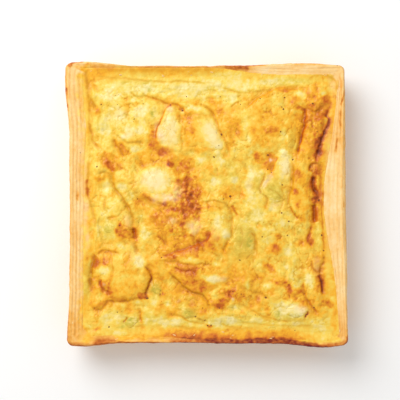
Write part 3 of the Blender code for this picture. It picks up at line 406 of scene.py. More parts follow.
        (-14, -65, 6, 3, 0, 0.42, 0.7), (-19, -69.5, 4, 2, 14, 0.64, 0.85),
        (-11, -71, 3, 2, 0, 0.56, 0.7), (-29, -71.5, 3, 2.4, 0, 0.06, 0.85),
        (-25, -79, 3.6, 4, 0, 0.52, 0.8), (-17, -76, 4, 4, 0, 0.22, 0.7),
        (-4, -76, 3.4, 4.6, 0, 0.52, 0.85), (10, -71, 4.6, 3.6, 30, 0.74, 0.9),
        (16, -64.5, 4, 3, 30, 0.68, 0.85), (23, -63.5, 3.4, 2.2, -20, 0.66, 0.85),
        (20, -50, 6, 4, 0, 0.52, 0.7), (14, -44, 3, 4, 0, 0.30, 0.6), (27, -44, 4, 5, 0, 0.46, 0.6),
        (28.5, -58, 2.4, 4, 0, 0.12, 0.8), (32, -67, 4, 4, 0, 0.48, 0.7),
        (8.5, -77, 3.4, 2, 0, 0.42, 0.7), (21, -74, 4, 3, 20, 0.10, 0.85), (17, -78, 4, 2, 0, 0.36, 0.6),
        (1, -80, 4, 2, 0, 0.42, 0.6), (2, -86.3, 2.4, 1.1, 0, 0.86, 0.95),
        (-25, -84, 8, 3.2, 0, 0.06, 0.8), (15, -83.5, 9, 2.6, 0, 0.05, 0.8),
        (-7, -95, 28, 2.0, 0, 0.62, 0.8), (-4, -95.8, 12, 1.2, 0, 0.82, 0.8),
        (-74, -96, 9, 1.8, 0, 0.62, 0.8), (67.5, -95.5, 3, 1.2, -30, 0.78, 0.8),
        (44, -96, 22, 1.2, 0, 0.80, 0.8), (-15, -90, 12, 2, 0, 0.48, 0.7), (0, -93, 9, 1.6, 0, 0.60, 0.8),
        (-20, -94, 8, 1.6, 0, 0.58, 0.8), (30, -53, 5, 3, 0, 0.44, 0.5), (-32, -63, 3, 4, 0, 0.48, 0.6),
        (-30, -45, 6, 2.4, 0, 0.40, 0.6), (35, -42, 4, 5, 0, 0.14, 0.6), (24, -90, 14, 1.8, 0, 0.44, 0.7),
    ),
    "front right": (
        (45, -45.5, 4, 2.6, -30, 0.72, 0.9), (41, -43, 2, 1.6, 0, 0.68, 0.7),
        (38, -51, 4, 4, 0, 0.46, 0.7), (55, -46, 5, 4, 0, 0.16, 0.8), (53, -56, 4, 3.4, 0, 0.64, 0.85),
        (59, -61.5, 1.8, 4.0, 0, 0.70, 0.9), (65, -62, 5, 2.6, -20, 0.62, 0.85),
        (60, -51, 3.6, 3.6, 0, 0.16, 0.8), (65, -56, 2.4, 4.4, 0, 0.10, 0.85),
        (72.5, -54, 3.2, 6, 8, 0.03, 0.9), (78, -63, 2.4, 4, 0, 0.50, 0.8), (88, -58, 3, 7, 0, 0.30, 0.7),
        (85.5, -71, 4.2, 2.6, 0, 0.74, 0.9), (62, -67.5, 4, 2.4, -20, 0.58, 0.7),
        (69, -71, 3.4, 4, 40, 0.58, 0.8), (43, -77, 3, 5, 0, 0.60, 0.85), (36, -68, 2, 2.6, 0, 0.62, 0.8),
        (42.5, -58.5, 3.4, 2.6, 0, 0.12, 0.8), (50, -66, 3.4, 2.4, 0, 0.34, 0.7),
        (78, -78, 4, 4, 0, 0.48, 0.7), (76, -87, 7, 3.4, 0, 0.14, 0.8), (84, -91, 5, 3.4, 0, 0.20, 0.7),
        (90.5, -84, 1.6, 7, 0, 0.52, 0.85), (58, -86, 9, 2.6, 0, 0.06, 0.8),
        (43, -89, 9, 2, 0, 0.18, 0.7), (52, -93, 10, 2, 0, 0.44, 0.7), (66, -82.5, 6, 1.5, -8, 0.40, 0.7),
        (70, -95, 5, 1.6, 0, 0.44, 0.7), (82, -60, 2, 4, 0, 0.56, 0.6), (46, -62, 4, 3, 0, 0.48, 0.6),
        (68, -45, 6, 4, 0, 0.36, 0.6), (84.5, -48, 1.8, 6, 0, 0.22, 0.7),
    ),
}

# Leek green under the skin: x, y, half-widths, turn, strength
GREENS = (
    (26, -26, 8, 14, 0, 0.55), (30.5, -28, 4, 6, 0, 0.85), (22, -36, 5, 5, 0, 0.40),
    (47, 9, 8, 6, -42, 0.55), (48.5, 8.5, 5, 1.8, -42, 0.90), (52, 4, 2.5, 3, 0, 0.6),
    (-37, -60, 3.2, 6, 10, 0.85), (-55, -84, 6, 3.6, 12, 0.85), (-60, -87, 5, 1.4, 0, 0.6),
    (-14, -77, 6.5, 4, 0, 0.65), (50, -79, 2.6, 3, 0, 0.8), (-38.5, 66, 2.2, 3.6, 0, 0.9),
    (-43, 83, 3.6, 1.8, -40, 0.6), (-43, 88, 3, 1.8, 0, 0.4), (-70, -17, 4.6, 4.6, 0, 0.60),
    (60, 47, 2.6, 6, 0, 0.40), (17, 76, 5, 2, 0, 0.35), (66, -20, 3.4, 2.6, 0, 0.45),
    (-74, 56, 6, 6, 0, 0.28), (-16, -69, 7, 3, 0, 0.40), (18, 22, 6, 8, 0, 0.25),
    (36, 14, 5, 9, -20, 0.30), (-45, -58, 4, 8, 0, 0.15), (60, -80, 14, 3, 0, 0.35),
    (-40, -80, 10, 6, 0, 0.22), (30, -60, 8, 5, 0, 0.20), (-86, -55, 3, 14, 0, 0.40),
    (78, -24, 3, 10, 0, 0.25), (-62, 55, 10, 6, 0, 0.15), (-10, 84, 30, 5, 0, 0.20),
    (-50, 86, 22, 4, 0, 0.30), (60, 88, 18, 2.4, 0, 0.30), (20, -84, 40, 2.4, 0, 0.25),
    (-83, 48, 2.5, 10, 0, 0.2), (34, -8, 8, 6, 0, 0.25), (-48, -10, 3, 8, 0, 0.2),
    (66, -47, 4, 8, 0, 0.15),
)

# Pinkish cream where cheese or pastry shows, and three painted highlights: x, y, half-widths, turn, strength
BLUSHES = (
    (-27, 53, 6, 13, 12, 0.30), (3, 50, 6, 11, 16, 0.22), (-38, 17, 11, 8, 0, 0.35),
    (91, 90, 4, 10, 0, 0.4), (87, 10, 3, 40, 0, 0.4), (-33.5, 51, 2.6, 8, 12, 0.75),
    (-27, 68, 3, 3, 0, 0.5), (-28, 4, 6, 3.4, 0, 0.75), (-37, 4, 4, 3, 0, 0.55), (-44, 17, 5, 6, 0, 0.4),
    (-25, -12, 3, 2.4, 0, 0.5), (-10, -15, 5, 3.4, 0, 0.5), (-9, -19, 3, 2, 0, 0.5),
    (-22, 9, 3, 5, 0, 0.35), (-57, 49, 5, 2.4, 10, 0.45), (8, -53, 6, 2.4, 0, 0.35),
    (41, 16, 1.6, 5, -28, 0.75), (44, 19, 1.4, 4, -24, 0.55), (30, 12, 2.4, 6, 0, 0.40),
    (67, -75, 5, 2.6, -20, 0.55), (56, 26, 4, 8, 0, 0.25), (-62, 66, 4, 2.4, 0, 0.3),
    (48, 0, 4, 2, 0, 0.3), (-57, -11, 3, 5, 20, 0.25), (-65, 62, 6, 4, 0, 0.2),
    # Painted highlights: three small glints of light on the wet skin
    (-73.5, -56.4, 1.2, 1.1, 0, 1.0), (45, 32, 1.2, 1.0, 0, 0.9), (17.5, -67, 1.1, 1.0, 0, 0.9),
    (78, -44, 3, 6, 0, 0.25), (6, -20, 4, 6, 0, 0.15), (-87.5, 6, 2.4, 26, 0, 0.5),
    (-86, -24, 1.6, 9, 0, 0.4), (-52, -36, 4, 8, 10, 0.2),
)

# Where the skin is torn and crumbly: x, y, half-widths, how rough
ROUGH_SPOTS = (
    (-18, 2, 18, 22, 1.0), (-14, -18, 16, 10, 0.8), (-74, -58, 7, 9, 0.6), (15, -66, 16, 8, 0.7),
    (78, 60, 10, 22, 0.7), (76, 10, 5, 20, 0.6), (-46, -66, 5, 4, 0.9), (58, -60, 10, 9, 0.5),
    (42, 30, 9, 8, 0.4), (80, -70, 12, 9, 0.4), (-12, -46, 14, 6, 0.3), (-62, -19, 6, 7, 0.4),
    (-18, 27, 8, 7, 0.5), (48, 55, 14, 12, 0.3),
)

# Pepper grains: x, y, half-width
PEPPER = (
    (-76, 71.5, 0.6), (-64.5, 71.5, 0.5), (-52.5, 61, 0.7), (-66, 78, 0.4), (-46, 72, 0.5),
    (-79, 27, 0.7), (-15, 77, 0.5), (9, 77, 0.5), (23.5, 71.5, 0.6), (10, 50, 1.0), (8, 42, 0.5),
    (4.5, 34, 0.9), (37.5, 75.5, 0.8), (55, 76.5, 0.9), (54, 68, 0.9), (53, 69.5, 0.6), (75, 72, 1.0),
    (52, 52, 0.8), (78, 52, 0.6), (43, 35.5, 0.8), (61, 32, 1.1), (45.5, 23, 0.7), (43, 25, 0.8),
    (53.5, 14, 0.7), (53, -6, 0.7), (58, -12, 0.7), (57, -22, 0.7), (39, -23, 0.6), (81.5, -22, 0.8),
    (83, -33, 0.9), (23, -39.7, 0.9), (41.5, -66.5, 1.1), (-34, -64, 0.8), (-64.5, -77, 0.6),
    (-70.5, -87.5, 0.8), (-8.7, -80, 0.8), (-3.5, -74, 0.5), (-2, -83, 0.5), (34, -79, 0.5),
    (62.5, -90, 0.6), (11.5, 4, 0.8), (16, 6, 0.9), (-50, 4, 0.7), (-43, -67, 1.1), (18, -62, 0.7),
    (8.5, -74, 0.7), (24, -64, 0.6), (-26.5, 71, 0.8), (-18, 67, 0.9), (79.5, 3, 1.1), (-33, -38, 0.7),
    (76, -73.5, 0.7), (0, -86.5, 0.8), (2.5, -86.3, 0.9), (-91, 37, 0.5), (92.5, 99, 0.6),
    (-62.8, -15, 0.6),
)

# Brown lines and marks on the pastry's rim: half-width, how toasted, strength, then the points
RIM_MARKS = (
    (0.8, 0.92, 0.9, (-101, 84), (-101, 78)), (0.8, 0.85, 0.8, (-100.6, 72), (-100.3, 69)),
    (1.0, 0.78, 0.8, (-101, -98), (-101, -90), (-100, -83), (-99.5, -76)),
    (0.8, 0.66, 0.6, (-101, 100), (-94, 102)),
    (1.2, 0.62, 0.5, (-91, -80), (-88, -83), (-87, -87), (-89, -93)),
    (1.1, 0.80, 0.9, (-100, -99), (-94, -101), (-86, -102)),
    (1.4, 0.92, 0.9, (-81, -99), (-73, -98.5), (-66, -98)),
    (0.8, 0.84, 0.9, (-66, -98.5), (-50, -99), (-30, -99.3)),
    (1.6, 0.80, 0.9, (-28, -98), (-20, -97.5), (-10, -97), (0, -97), (10, -97.5), (26, -98)),
    (0.9, 0.97, 0.9, (-20, -99), (0, -99.4), (28, -99.6)),
    (1.9, 0.97, 1.0, (26, -98.5), (40, -98.5), (54, -98.6), (64, -99.5)),
    (1.4, 0.98, 1.0, (60, -99.5), (70, -101), (80, -101.8), (90, -101.6)),
    (0.9, 0.86, 0.9, (90, -101.6), (97, -101), (101, -98)), (0.8, 0.80, 0.8, (65, -95), (70, -98)),
    (1.0, 0.84, 0.85, (2, 99.2), (12, 99), (20, 99.3), (32, 99.6), (42, 100)),
    (1.7, 0.84, 0.9, (12, 97), (20, 97.2), (30, 97.6)),
    (1.6, 0.60, 0.8, (-85, 98.5), (-75, 98.5), (-65, 97.8)),
    (2.2, 0.62, 0.75, (-60, 96.5), (-36, 96.5), (-12, 97), (18, 97.4)),
    (0.8, 0.66, 0.7, (-50, 99.3), (-20, 99.3), (4, 99.3)), (0.7, 0.70, 0.7, (44, 91), (48, 90.5)),
    (0.7, 0.72, 0.8, (98, 82), (96.5, 75), (95, 71)), (0.7, 0.70, 0.8, (95.5, 68), (95, 62), (94.5, 55)),
    (0.8, 0.74, 0.8, (93, 48), (91.5, 40), (91, 38)), (0.4, 0.74, 0.7, (97.5, 2), (97.4, -2)),
    (0.7, 0.52, 0.6, (-90.5, 85), (-90.5, 60)), (0.6, 0.42, 0.3, (-96, 90), (-96, 10)),
    (0.9, 0.44, 0.3, (-94, 90), (-93.5, 20)), (0.8, 0.62, 0.8, (-93, 10), (-93.2, 3)),
    (0.5, 0.44, 0.5, (-90.5, 32), (-90, 20)), (0.5, 0.46, 0.4, (-95, -10), (-94, -40), (-94.5, -75)),
    (0.5, 0.48, 0.4, (-90, -30), (-89, -70)), (0.5, 0.42, 0.4, (88, 20), (87, -20), (88, -45)),
    (0.5, 0.42, 0.4, (93, 30), (92.5, -10), (93, -50)), (0.5, 0.44, 0.4, (96, 50), (96, 10), (96.5, -60)),
    (0.7, 0.56, 0.6, (94, 92), (95.5, 86), (94, 78)),
    (1.1, 0.60, 0.7, (62, 100.6), (70, 100.9), (84, 100.6)),
    (2.6, 0.62, 0.8, (-34, -94.5), (-10, -94), (20, -95)),
    (1.3, 0.84, 0.8, (-14, -95.5), (-6, -95), (6, -95.5)),
    (2.0, 0.94, 0.95, (24, -97.5), (40, -97.3), (58, -97.6), (66, -99)),
    (2.2, 0.60, 0.8, (-82, -96), (-74, -95.5), (-66, -95.5)),
    (1.3, 0.70, 0.8, (-80, -97.8), (-72, -97.5), (-65, -97.8)),
    (1.2, 0.92, 0.9, (-6, -97.2), (10, -97.6), (26, -97.8)),
    (0.9, 0.50, 0.7, (-91.5, 90), (-90.5, 80), (-89.5, 65), (-88.5, 58)),
    (1.0, 0.10, 0.8, (-87, 68), (-87, 60), (-87, 54)),
    (1.3, 0.10, 0.6, (-88, -20), (-87.5, -50), (-88, -75)),
    (0.8, 0.56, 0.5, (-99.8, 60), (-99.3, 20), (-99, -20), (-99.4, -60)),
    (1.3, 0.86, 0.85, (-99.5, 99), (-97, 100.5)),
    (0.9, 0.62, 0.6, (88.5, -60), (91, -72), (91.5, -86), (88, -94), (83, -97)),
    (0.9, 0.86, 0.8, (66, -95), (68, -96.5), (70, -98)), (2.6, 0.48, 0.8, (-97, -76), (-97, -96)),
    (2.0, 0.50, 0.8, (-91, -78), (-89.5, -90), (-92, -97)),
    (1.4, 0.66, 0.8, (-97, -99), (-88, -100), (-80, -99.5)), (0.9, 0.90, 0.8, (99.5, -94), (99.6, -99)),
    (1.4, 0.92, 0.9, (62, -98.2), (70, -99.6), (80, -100.4)),
    (1.2, 0.75, 0.8, (84, -100.2), (94, -99.6), (99, -98)),
    (0.8, 0.86, 0.9, (-98, 101.5), (-93, 102.2), (-88, 102.4)),
    (0.7, 0.64, 0.6, (-101.6, 98), (-101, 76), (-100.2, 66)),
    (1.0, 0.50, 0.6, (93.5, 88), (95.5, 82), (94, 74)),
)

# Specks of pepper dust besides the grains, and how far from the middle they lie
PEPPER_DUST = 110
DUST_REACH = 82.0

# Crumbs on the rim: how far along a side they lie, and how far out
CRUMB_REACH = 94.0
CRUMB_BAND = (90.0, 96.5)

# Pieces set into the filling: thickness, how far the top stands proud, then the outline
BRIE = {
    "brie_triangle": (9.0, 2.6, (-26, 70), (-22.5, 65), (-21.5, 57), (-20.5, 49), (-19, 43), (-20, 40),
        (-26, 41.5), (-33, 43), (-36, 47), (-34, 54), (-31, 61), (-28.5, 67)),
    "brie_slab": (9.0, 2.2, (-16.5, 64), (-9, 63), (-1, 62.5), (4, 58), (8, 51.5), (11.5, 45), (12.5, 39),
        (7, 37), (0, 38), (-8, 40.5), (-15.5, 41), (-17, 48), (-18, 56)),
    "brie_round": (11.0, 3.4, (-47, 21), (-40, 25), (-31, 26), (-25, 23), (-23, 16), (-24, 8), (-28, 3),
        (-34, 3), (-40, 5.5), (-47, 8), (-50, 14)),
    "brie_sliver": (7.0, 1.8, (51, 20), (50, 27), (52, 34), (56, 36.5), (58.5, 32), (58.5, 25),
        (55.5, 19)),
    "brie_corner": (8.0, 2.2, (56, -74), (60, -71), (65, -71.5), (69.5, -75), (70.5, -78.5), (66, -81),
        (60, -80.5), (56, -78)),
}
LEEK = {
    "leek_wide": (3.2, 1.0, (23, -12.5), (19.5, -19), (18.5, -27), (18.5, -34), (22, -38), (28.5, -38),
        (33, -33), (34.5, -26), (31.5, -18), (28, -13)),
    "leek_leaf": (3.0, 1.0, (39.5, 12), (43, 16.5), (49, 15), (54, 8), (55.5, 3.5), (51.5, 1.5), (46, 3),
        (40.5, 7)),
    "leek_shred": (2.8, 0.9, (57, 41), (56, 46), (58.5, 51.5), (62, 50), (62.5, 44), (60.5, 40.5)),
    "leek_shadow": (3.0, 0.9, (-37.5, -53), (-34, -56), (-33, -61), (-35.5, -64.5), (-38.5, -63),
        (-39, -58)),
    "leek_wedge": (3.0, 1.0, (-59, -84.5), (-57, -80.5), (-52, -79.5), (-49.8, -82), (-52, -86),
        (-57, -88)),
    "leek_fleck": (2.8, 0.8, (-19.5, -75), (-14, -72.5), (-9, -75), (-9, -79.5), (-14, -81.5),
        (-19.5, -80)),
    "leek_ring": (2.8, 0.8, (46.5, -80.5), (47.5, -77.3), (50, -76.2), (52.3, -78.5), (52.6, -82),
        (49.5, -83.2)),
    "leek_pale": (2.8, 0.8, (-74, -14), (-70, -12.5), (-66.5, -15), (-67, -19), (-71, -20.5),
        (-74.5, -18)),
}


def screen_colour(red, green, blue):
    """A colour given as on a screen, in the linear light that shaders take."""
    shares = (red / 255, green / 255, blue / 255)
    return tuple(c / 12.92 if c <= 0.04045 else ((c + 0.055) / 1.055) ** 2.4 for c in shares)


# Settings that a user would change


def number(name, description, default, low, high, **more):
    return bpy.props.FloatProperty(name=name, description=description, default=default, min=low,
                                   max=high, **more)


def length(name, description, default, low, high):
    return number(name, description, default, low, high, subtype="DISTANCE", unit="LENGTH", precision=4)


def share(name, description, default, low=0.0, high=1.0):
    return number(name, description, default, low, high, subtype="FACTOR")


def colour(name, description, red, green, blue):
    default = screen_colour(red, green, blue)
    return bpy.props.FloatVectorProperty(name=name, description=description, default=default, size=3,
                                         min=0.0, max=1.0, subtype="COLOR")


def count(name, description, default, low, high):
    return bpy.props.IntProperty(name=name, description=description, default=default, min=low, max=high)


class QuichePastrySettings(bpy.types.PropertyGroup):
    """Sizes and colours of the pastry case"""

    side_cells: count("Cells along a side", "Mesh cells along each side of the case", 196, 40, 220)
    leaf_size: length("Leaf thickness", "How thick the pastry's leaves are", 0.0011, 0.0004, 0.004)
    leaf_relief: length("Leaf relief", "How far the leaves stand out", 0.00018, 0.0, 0.001)
    pale: colour("Pale", "Pastry that hardly browned", 255, 230, 176)
    light: colour("Light", "Lightly baked pastry", 253, 208, 134)
    gold: colour("Golden", "Golden pastry", 242, 176, 78)
    brown: colour("Brown", "Browned pastry", 204, 110, 28)
    burnt: colour("Burnt", "The darkest edges", 118, 12, 3)
    roughness: share("Roughness", "How matt the pastry is", 0.58)


class QuicheFillingSettings(bpy.types.PropertyGroup):
    """Sizes and colours of the filling's skin"""

    cells: count("Cells", "Mesh cells along each side of the skin", 304, 60, 310)
    fold_depth: share("Fold depth", "Depth of the folds, as a share of the real one", 1.0, 0.0, 2.0)
    crumple: share("Crumple", "Strength of the small wrinkles and torn spots", 1.0, 0.0, 2.0)
    pale: colour("Pale", "Skin that hardly browned", 251, 230, 156)
    light: colour("Light", "Yellow skin", 249, 212, 84)
    gold: colour("Golden", "Golden skin", 249, 179, 33)
    brown: colour("Brown", "Orange-brown skin", 214, 110, 12)
    burnt: colour("Burnt", "The darkest cracks", 116, 22, 3)
    olive: colour("Olive", "Leek seen through the skin", 186, 178, 62)
    # The blush colour also paints the three highlights in BLUSHES
    blush: colour("Blush", "Pinkish cream of the cheese", 254, 222, 178)
    roughness: share("Roughness", "How matt the skin is", 0.42)


class QuicheToppingSettings(bpy.types.PropertyGroup):
    """Brie, leek, pepper and crumbs"""

    cheese_cells: count("Cheese cells", "Mesh cells round each piece of cheese", 120, 24, 200)
    leek_cells: count("Leek cells", "Mesh cells round each piece of leek", 88, 24, 160)
    leek_fibre: length("Leek fibre", "Distance between the leek's fibres", 0.0013, 0.0003, 0.005)
    pepper: colour("Pepper", "Colour of the pepper", 104, 54, 10)
    crumb_count: count("Crumbs", "Crumbs and flakes that came loose on the rim", 46, 0, 300)
    seed: count("Seed", "Changes where small things lie", 7, 0, 1000)


class QuicheStageSettings(bpy.types.PropertyGroup):
    """Camera, floor and light"""

    camera_height: length("Camera height", "From the rim up to the camera", 0.9, 0.3, 3.0)
    view_width: length("View width", "Width of the picture at the rim", 0.2856, 0.1, 1.0)
    floor: colour("Floor", "Colour of the floor", 254, 254, 253)
    key_power: number("Key light", "Power of the soft light from the back left", 9.35, 0.0, 100.0,
                      subtype="POWER", unit="POWER")
    sky: share("Sky", "Strength of the even light from all sides", 0.60, 0.0, 3.0)


# Shapes


def hump(distance, width):
    """A smooth bell: 1 at no distance, and almost 0 at twice the width."""
    return np.exp(-((distance / width) ** 2))


def ramp(value, start, end):
    """0 at the start and before it, 1 at the end and beyond, and a straight rise between them."""
    return np.clip((value - start) / (end - start), 0, 1)


def soft_step(value, middle, width):
    """A smooth rise from 0 to 1, halfway up at the middle."""
    return 0.5 + 0.5 * np.tanh((value - middle) / width)


def eased(t):
    """A share from 0 to 1, made to start and end gently."""
    return t * t * (3 - 2 * t)


def fractal(points, scale, octaves=3, seed=0.0):
    """Noise at each point, about -1 to 1, with its largest lumps this many millimetres across."""
    shift = Vector((seed * 1.7, seed * 2.3, seed * 0.9))
    flat = points.reshape(-1, 3).tolist()
    made = [noise.fractal(Vector(p) / scale + shift, 1.0, 2.0, octaves) for p in flat]
    return np.array(made).reshape(points.shape[:-1])


def plain_noise(points, scale, seed):
    made = [noise.noise(Vector(p) / scale + Vector(seed)) for p in points.reshape(-1, 3).tolist()]
    return np.array(made).reshape(points.shape[:-1])


def flat_points(x, y, height=0.0):
    return np.stack([x, y, np.zeros_like(x) + height], axis=-1)


def outer_edges(u, v):
    """Left, right, front and back outsides of the rim, as the distance from the middle."""
    x, y = u * HALF_SIDE, v * HALF_SIDE
    left = 98.8 + 3.3 * hump(y - 88, 26) + 2.0 * hump(y + 94, 20)
    right = 99.3 - 1.2 * v
    front = 99.1 + 2.6 * hump(x + 88, 17) + 3.1 * hump(x - 80, 18) + 0.6 * hump(x - 35, 35)
    back = 98.8 + 3.4 * hump(x + 86, 24) + 2.4 * hump(x - 66, 34)
    return left, right, front, back


def wall_sag(x, v, z):
    """How far the lower wall sags out beyond the rim, on the parts of the back and front where it did."""
    back = 2.7 * hump(z - 22, 7) * hump(x + 36, 26)
    front = 1.6 * hump(z - 22, 7) * hump(x - 20, 36)
    return np.where(v > 0.9, back, np.where(v < -0.9, front, 0.0))


def inner_edges(u, v):
    """Left, right, front and back edges of the filling. The right side's leaves flop in over it."""
    x, y = u * HALF_SIDE, v * HALF_SIDE
    left = 86.6 - 1.9 * hump(y - 52, 25)
    right = 92.5 - 11.5 * hump(y - 6, 56)
    front = 93.0 + 1.3 * np.tanh((x + 30) / 15) + 1.7 * hump(x - 80, 18)
    back = 93.3 - 2.1 * np.tanh((x - 22) / 14)
    return left, right, front, back


def rounded(u, v, radius):
    """Points of the unit square, moved so that the square's corners are rounded."""
    r = radius / HALF_SIDE
    a, b = (np.abs(u) - (1 - r)) / r, (np.abs(v) - (1 - r)) / r
    corner = (a > 0) & (b > 0)
    p = np.where(corner, 1 - r + r * a * np.sqrt(1 - np.clip(b, 0, 1) ** 2 / 2), np.abs(u))
    q = np.where(corner, 1 - r + r * b * np.sqrt(1 - np.clip(a, 0, 1) ** 2 / 2), np.abs(v))
    return np.copysign(p, u), np.copysign(q, v)


def stretched(u, v, across, inset):
    """Points of the unit square at the quiche's size. across is 0 outside the rim and 1 at the filling."""
    outside, inside = outer_edges(u, v), inner_edges(u, v)
    left, right, front, back = (o + (i - o) * across - inset for o, i in zip(outside, inside))
    x = (right - left) / 2 + u * (right + left) / 2
    y = (back - front) / 2 + v * (back + front) / 2
    return x, y


def curve_through(points, steps=5):
    """More points on a smooth curve through these."""
    p = np.array([points[0], *points, points[-1]], float)
    a, b, c, d = p[:-3], p[1:-2], p[2:-1], p[3:]
    t = np.arange(steps)[:, None, None] / steps
    square, cube = 2 * a - 5 * b + 4 * c - d, 3 * b - a - 3 * c + d
    found = 0.5 * (2 * b + (c - a) * t + square * t * t + cube * t**3)
    return np.vstack([found.transpose(1, 0, 2).reshape(-1, 2), p[-1]])


def pressed(values, limit, share_kept):
    """Values of which only a share is kept of what lies above a limit."""
    return np.where(values > limit, limit + share_kept * (values - limit), values)


def near_line(x, y, line, reach):
    """The places within reach of a line, their distance, their side (1 left, -1 right) and how far along."""
    low, high = line.min(axis=0) - reach, line.max(axis=0) + reach
    found = np.flatnonzero((x > low[0]) & (x < high[0]) & (y > low[1]) & (y < high[1]))
    px, py = x[found], y[found]
    distance, side, along = np.full(len(found), 1e9), np.ones(len(found)), np.zeros(len(found))
    for i, ((ax, ay), (bx, by)) in enumerate(zip(line, line[1:])):
        dx, dy = bx - ax, by - ay
        t = np.clip(((px - ax) * dx + (py - ay) * dy) / (dx * dx + dy * dy + 1e-9), 0, 1)
        ex, ey = px - ax - t * dx, py - ay - t * dy
        new = np.hypot(ex, ey)
        closer = new < distance
        distance[closer] = new[closer]
        side[closer] = np.sign(dx * ey - dy * ex)[closer]
        along[closer] = ((i + t) / (len(line) - 1))[closer]
    return found, distance, side, along


def tapered(along):
    """1 in the middle of a line, and less towards its ends."""
    return np.clip(np.minimum(along, 1 - along) * 7 + 0.25, 0, 1)


def veins(spots, scale, thin, seed):
    """Thin winding lines, as noise makes them where it crosses zero: 1 on a line and 0 away from it."""
    crossing = np.abs(fractal(spots, scale, 3, seed)) / thin
    fade = np.clip(0.5 + 1.6 * fractal(spots, 2.2 * scale, 2, seed + 1.0), 0, 1)
    return np.exp(-(crossing**1.4)) * fade


def skin_veins(spots):
    """The fine cracks of the skin, wide ones and narrow ones."""
    wide, narrow = VEIN_SEEDS
    return veins(spots, 9.0, 0.05, wide) + 0.6 * veins(spots, 5.0, 0.07, narrow)


def ridges(x, y, height, scale, seed):
    """Ridges and grooves, about -1 to 1, from folded noise."""
    return 1 - 2 * np.abs(fractal(flat_points(x, y, height), scale, 3, seed))


def wrinkles(x, y):
    """Long wrinkles, about -1 to 1: upright near the left and right edges, level near the back and front
    ones, and slanting between them."""
    upright = soft_step(np.abs(x + 6), 62, 7)
    level = soft_step(np.abs(y), 74, 6) * (1 - upright * (np.abs(y) < 84))
    c, s = math.cos(math.radians(-48)), math.sin(math.radians(-48))
    slanting = ridges((c * x + s * y) / 2.6, c * y - s * x, 5.0, 5.5, 101.0)
    tall = ridges(x, y / 3.2, 9.0, 4.6, 103.0)
    flat = ridges(x / 3.6, y, 2.0, 4.0, 105.0)
    mixed_in = slanting + (tall - slanting) * upright
    return mixed_in + (flat - mixed_in) * np.clip(level, 0, 1)


def squared_way(x, y, row):
    """The square of how far each place is from a patch's middle: 1 at its half-widths."""
    mid_x, mid_y, along, over, turn = row[:5]
    c, s = math.cos(math.radians(turn)), math.sin(math.radians(turn))
    p = (c * (x - mid_x) + s * (y - mid_y)) / along
    q = (c * (y - mid_y) - s * (x - mid_x)) / over
    return p * p + q * q


def patch(x, y, row):
    """How much a patch covers each place: flat in its middle, and soft at its edge."""
    return np.exp(-(squared_way(x, y, row) ** 1.5))


def strongest(x, y, rows):
    """The most that any of these patches covers each place."""
    total = np.zeros_like(x)
    for row in rows:
        total = np.maximum(total, row[5] * patch(x, y, row))
    return total


def drifted(x, y, amount):
    """The same places, each pushed a little by noise, so that what is drawn there gets an uneven edge."""
    spots = flat_points(x, y)
    pushed = []
    for seed in (31.0, 41.0):
        pushed.append(fractal(spots, 9.0, 3, seed) + 0.45 * fractal(spots, 2.6, 2, seed + 2.0))
    return x + amount * pushed[0], y + amount * pushed[1]


def roughness_at(x, y):
    """How torn the skin is at each place, from 0 to 1."""
    total = np.full_like(x, 0.14)
    for mid_x, mid_y, wide, deep, amount in ROUGH_SPOTS:
        total = np.maximum(total, amount * patch(x, y, (mid_x, mid_y, wide, deep, 0)))
    return total


def fold_relief(x, y, depth_share):
    """How far the folds lower or raise the skin at each place."""
    relief = np.zeros_like(x)
    px, py = drifted(x, y, FOLD_DRIFT)
    for depth, width, lift, _, _, *points in FOLDS.values():
        found, distance, side, along = near_line(px, py, curve_through(points), RELIEF_REACH)
        ends = tapered(along)
        fall = 1.2 * depth * ends * np.exp(-((distance / (1.15 * width)) ** 1.25))
        step = lift * ends * side * np.exp(-distance / 4.5) * (1 - hump(distance, 0.7))
        relief[found] += (1.35 * step - fall) * depth_share
    return relief


def skin_height(x, y, depth_share=1.0, crumple=1.0):
    """Height of the filling's top, in millimetres, at places given as flat arrays."""
    shoulder = eased(ramp(np.maximum(np.abs(x), np.abs(y)) / HALF_SIDE, 0.95, 0.79))
    spots = flat_points(x, y)
    rise = np.zeros_like(x)
    px, py = drifted(x, y, PUFF_DRIFT)
    for row in PUFFS.values():
        rise = np.maximum(rise, row[5] * np.exp(-(squared_way(px, py, row) ** 2) / 1.2))
    ripple = 0.8 * plain_noise(spots, 17.0, (0, 0, 0)) + 0.8 * plain_noise(spots, 7.5, (3, 1, 5))
    torn = roughness_at(x, y)
    wrinkle = 1 - 2 * np.abs(fractal(spots, 6.0, 3, 5.0))
    fine = (0.20 + 0.74 * torn) * fractal(spots, 3.4, 3, 9.0)
    fine += (0.04 + 0.40 * torn) * fractal(spots, 1.4, 2, 12.0)
    small = crumple * (fine + 0.15 * wrinkle + 0.42 * wrinkles(x, y) - 0.45 * skin_veins(spots))
    relief = SWELL + rise + fold_relief(x, y, depth_share) + ripple
    level = FILLING_EDGE_HEIGHT + SKIN_START - SHOULDER_DROP * shoulder
    return level + shoulder * relief + (0.25 + 0.75 * shoulder) * small


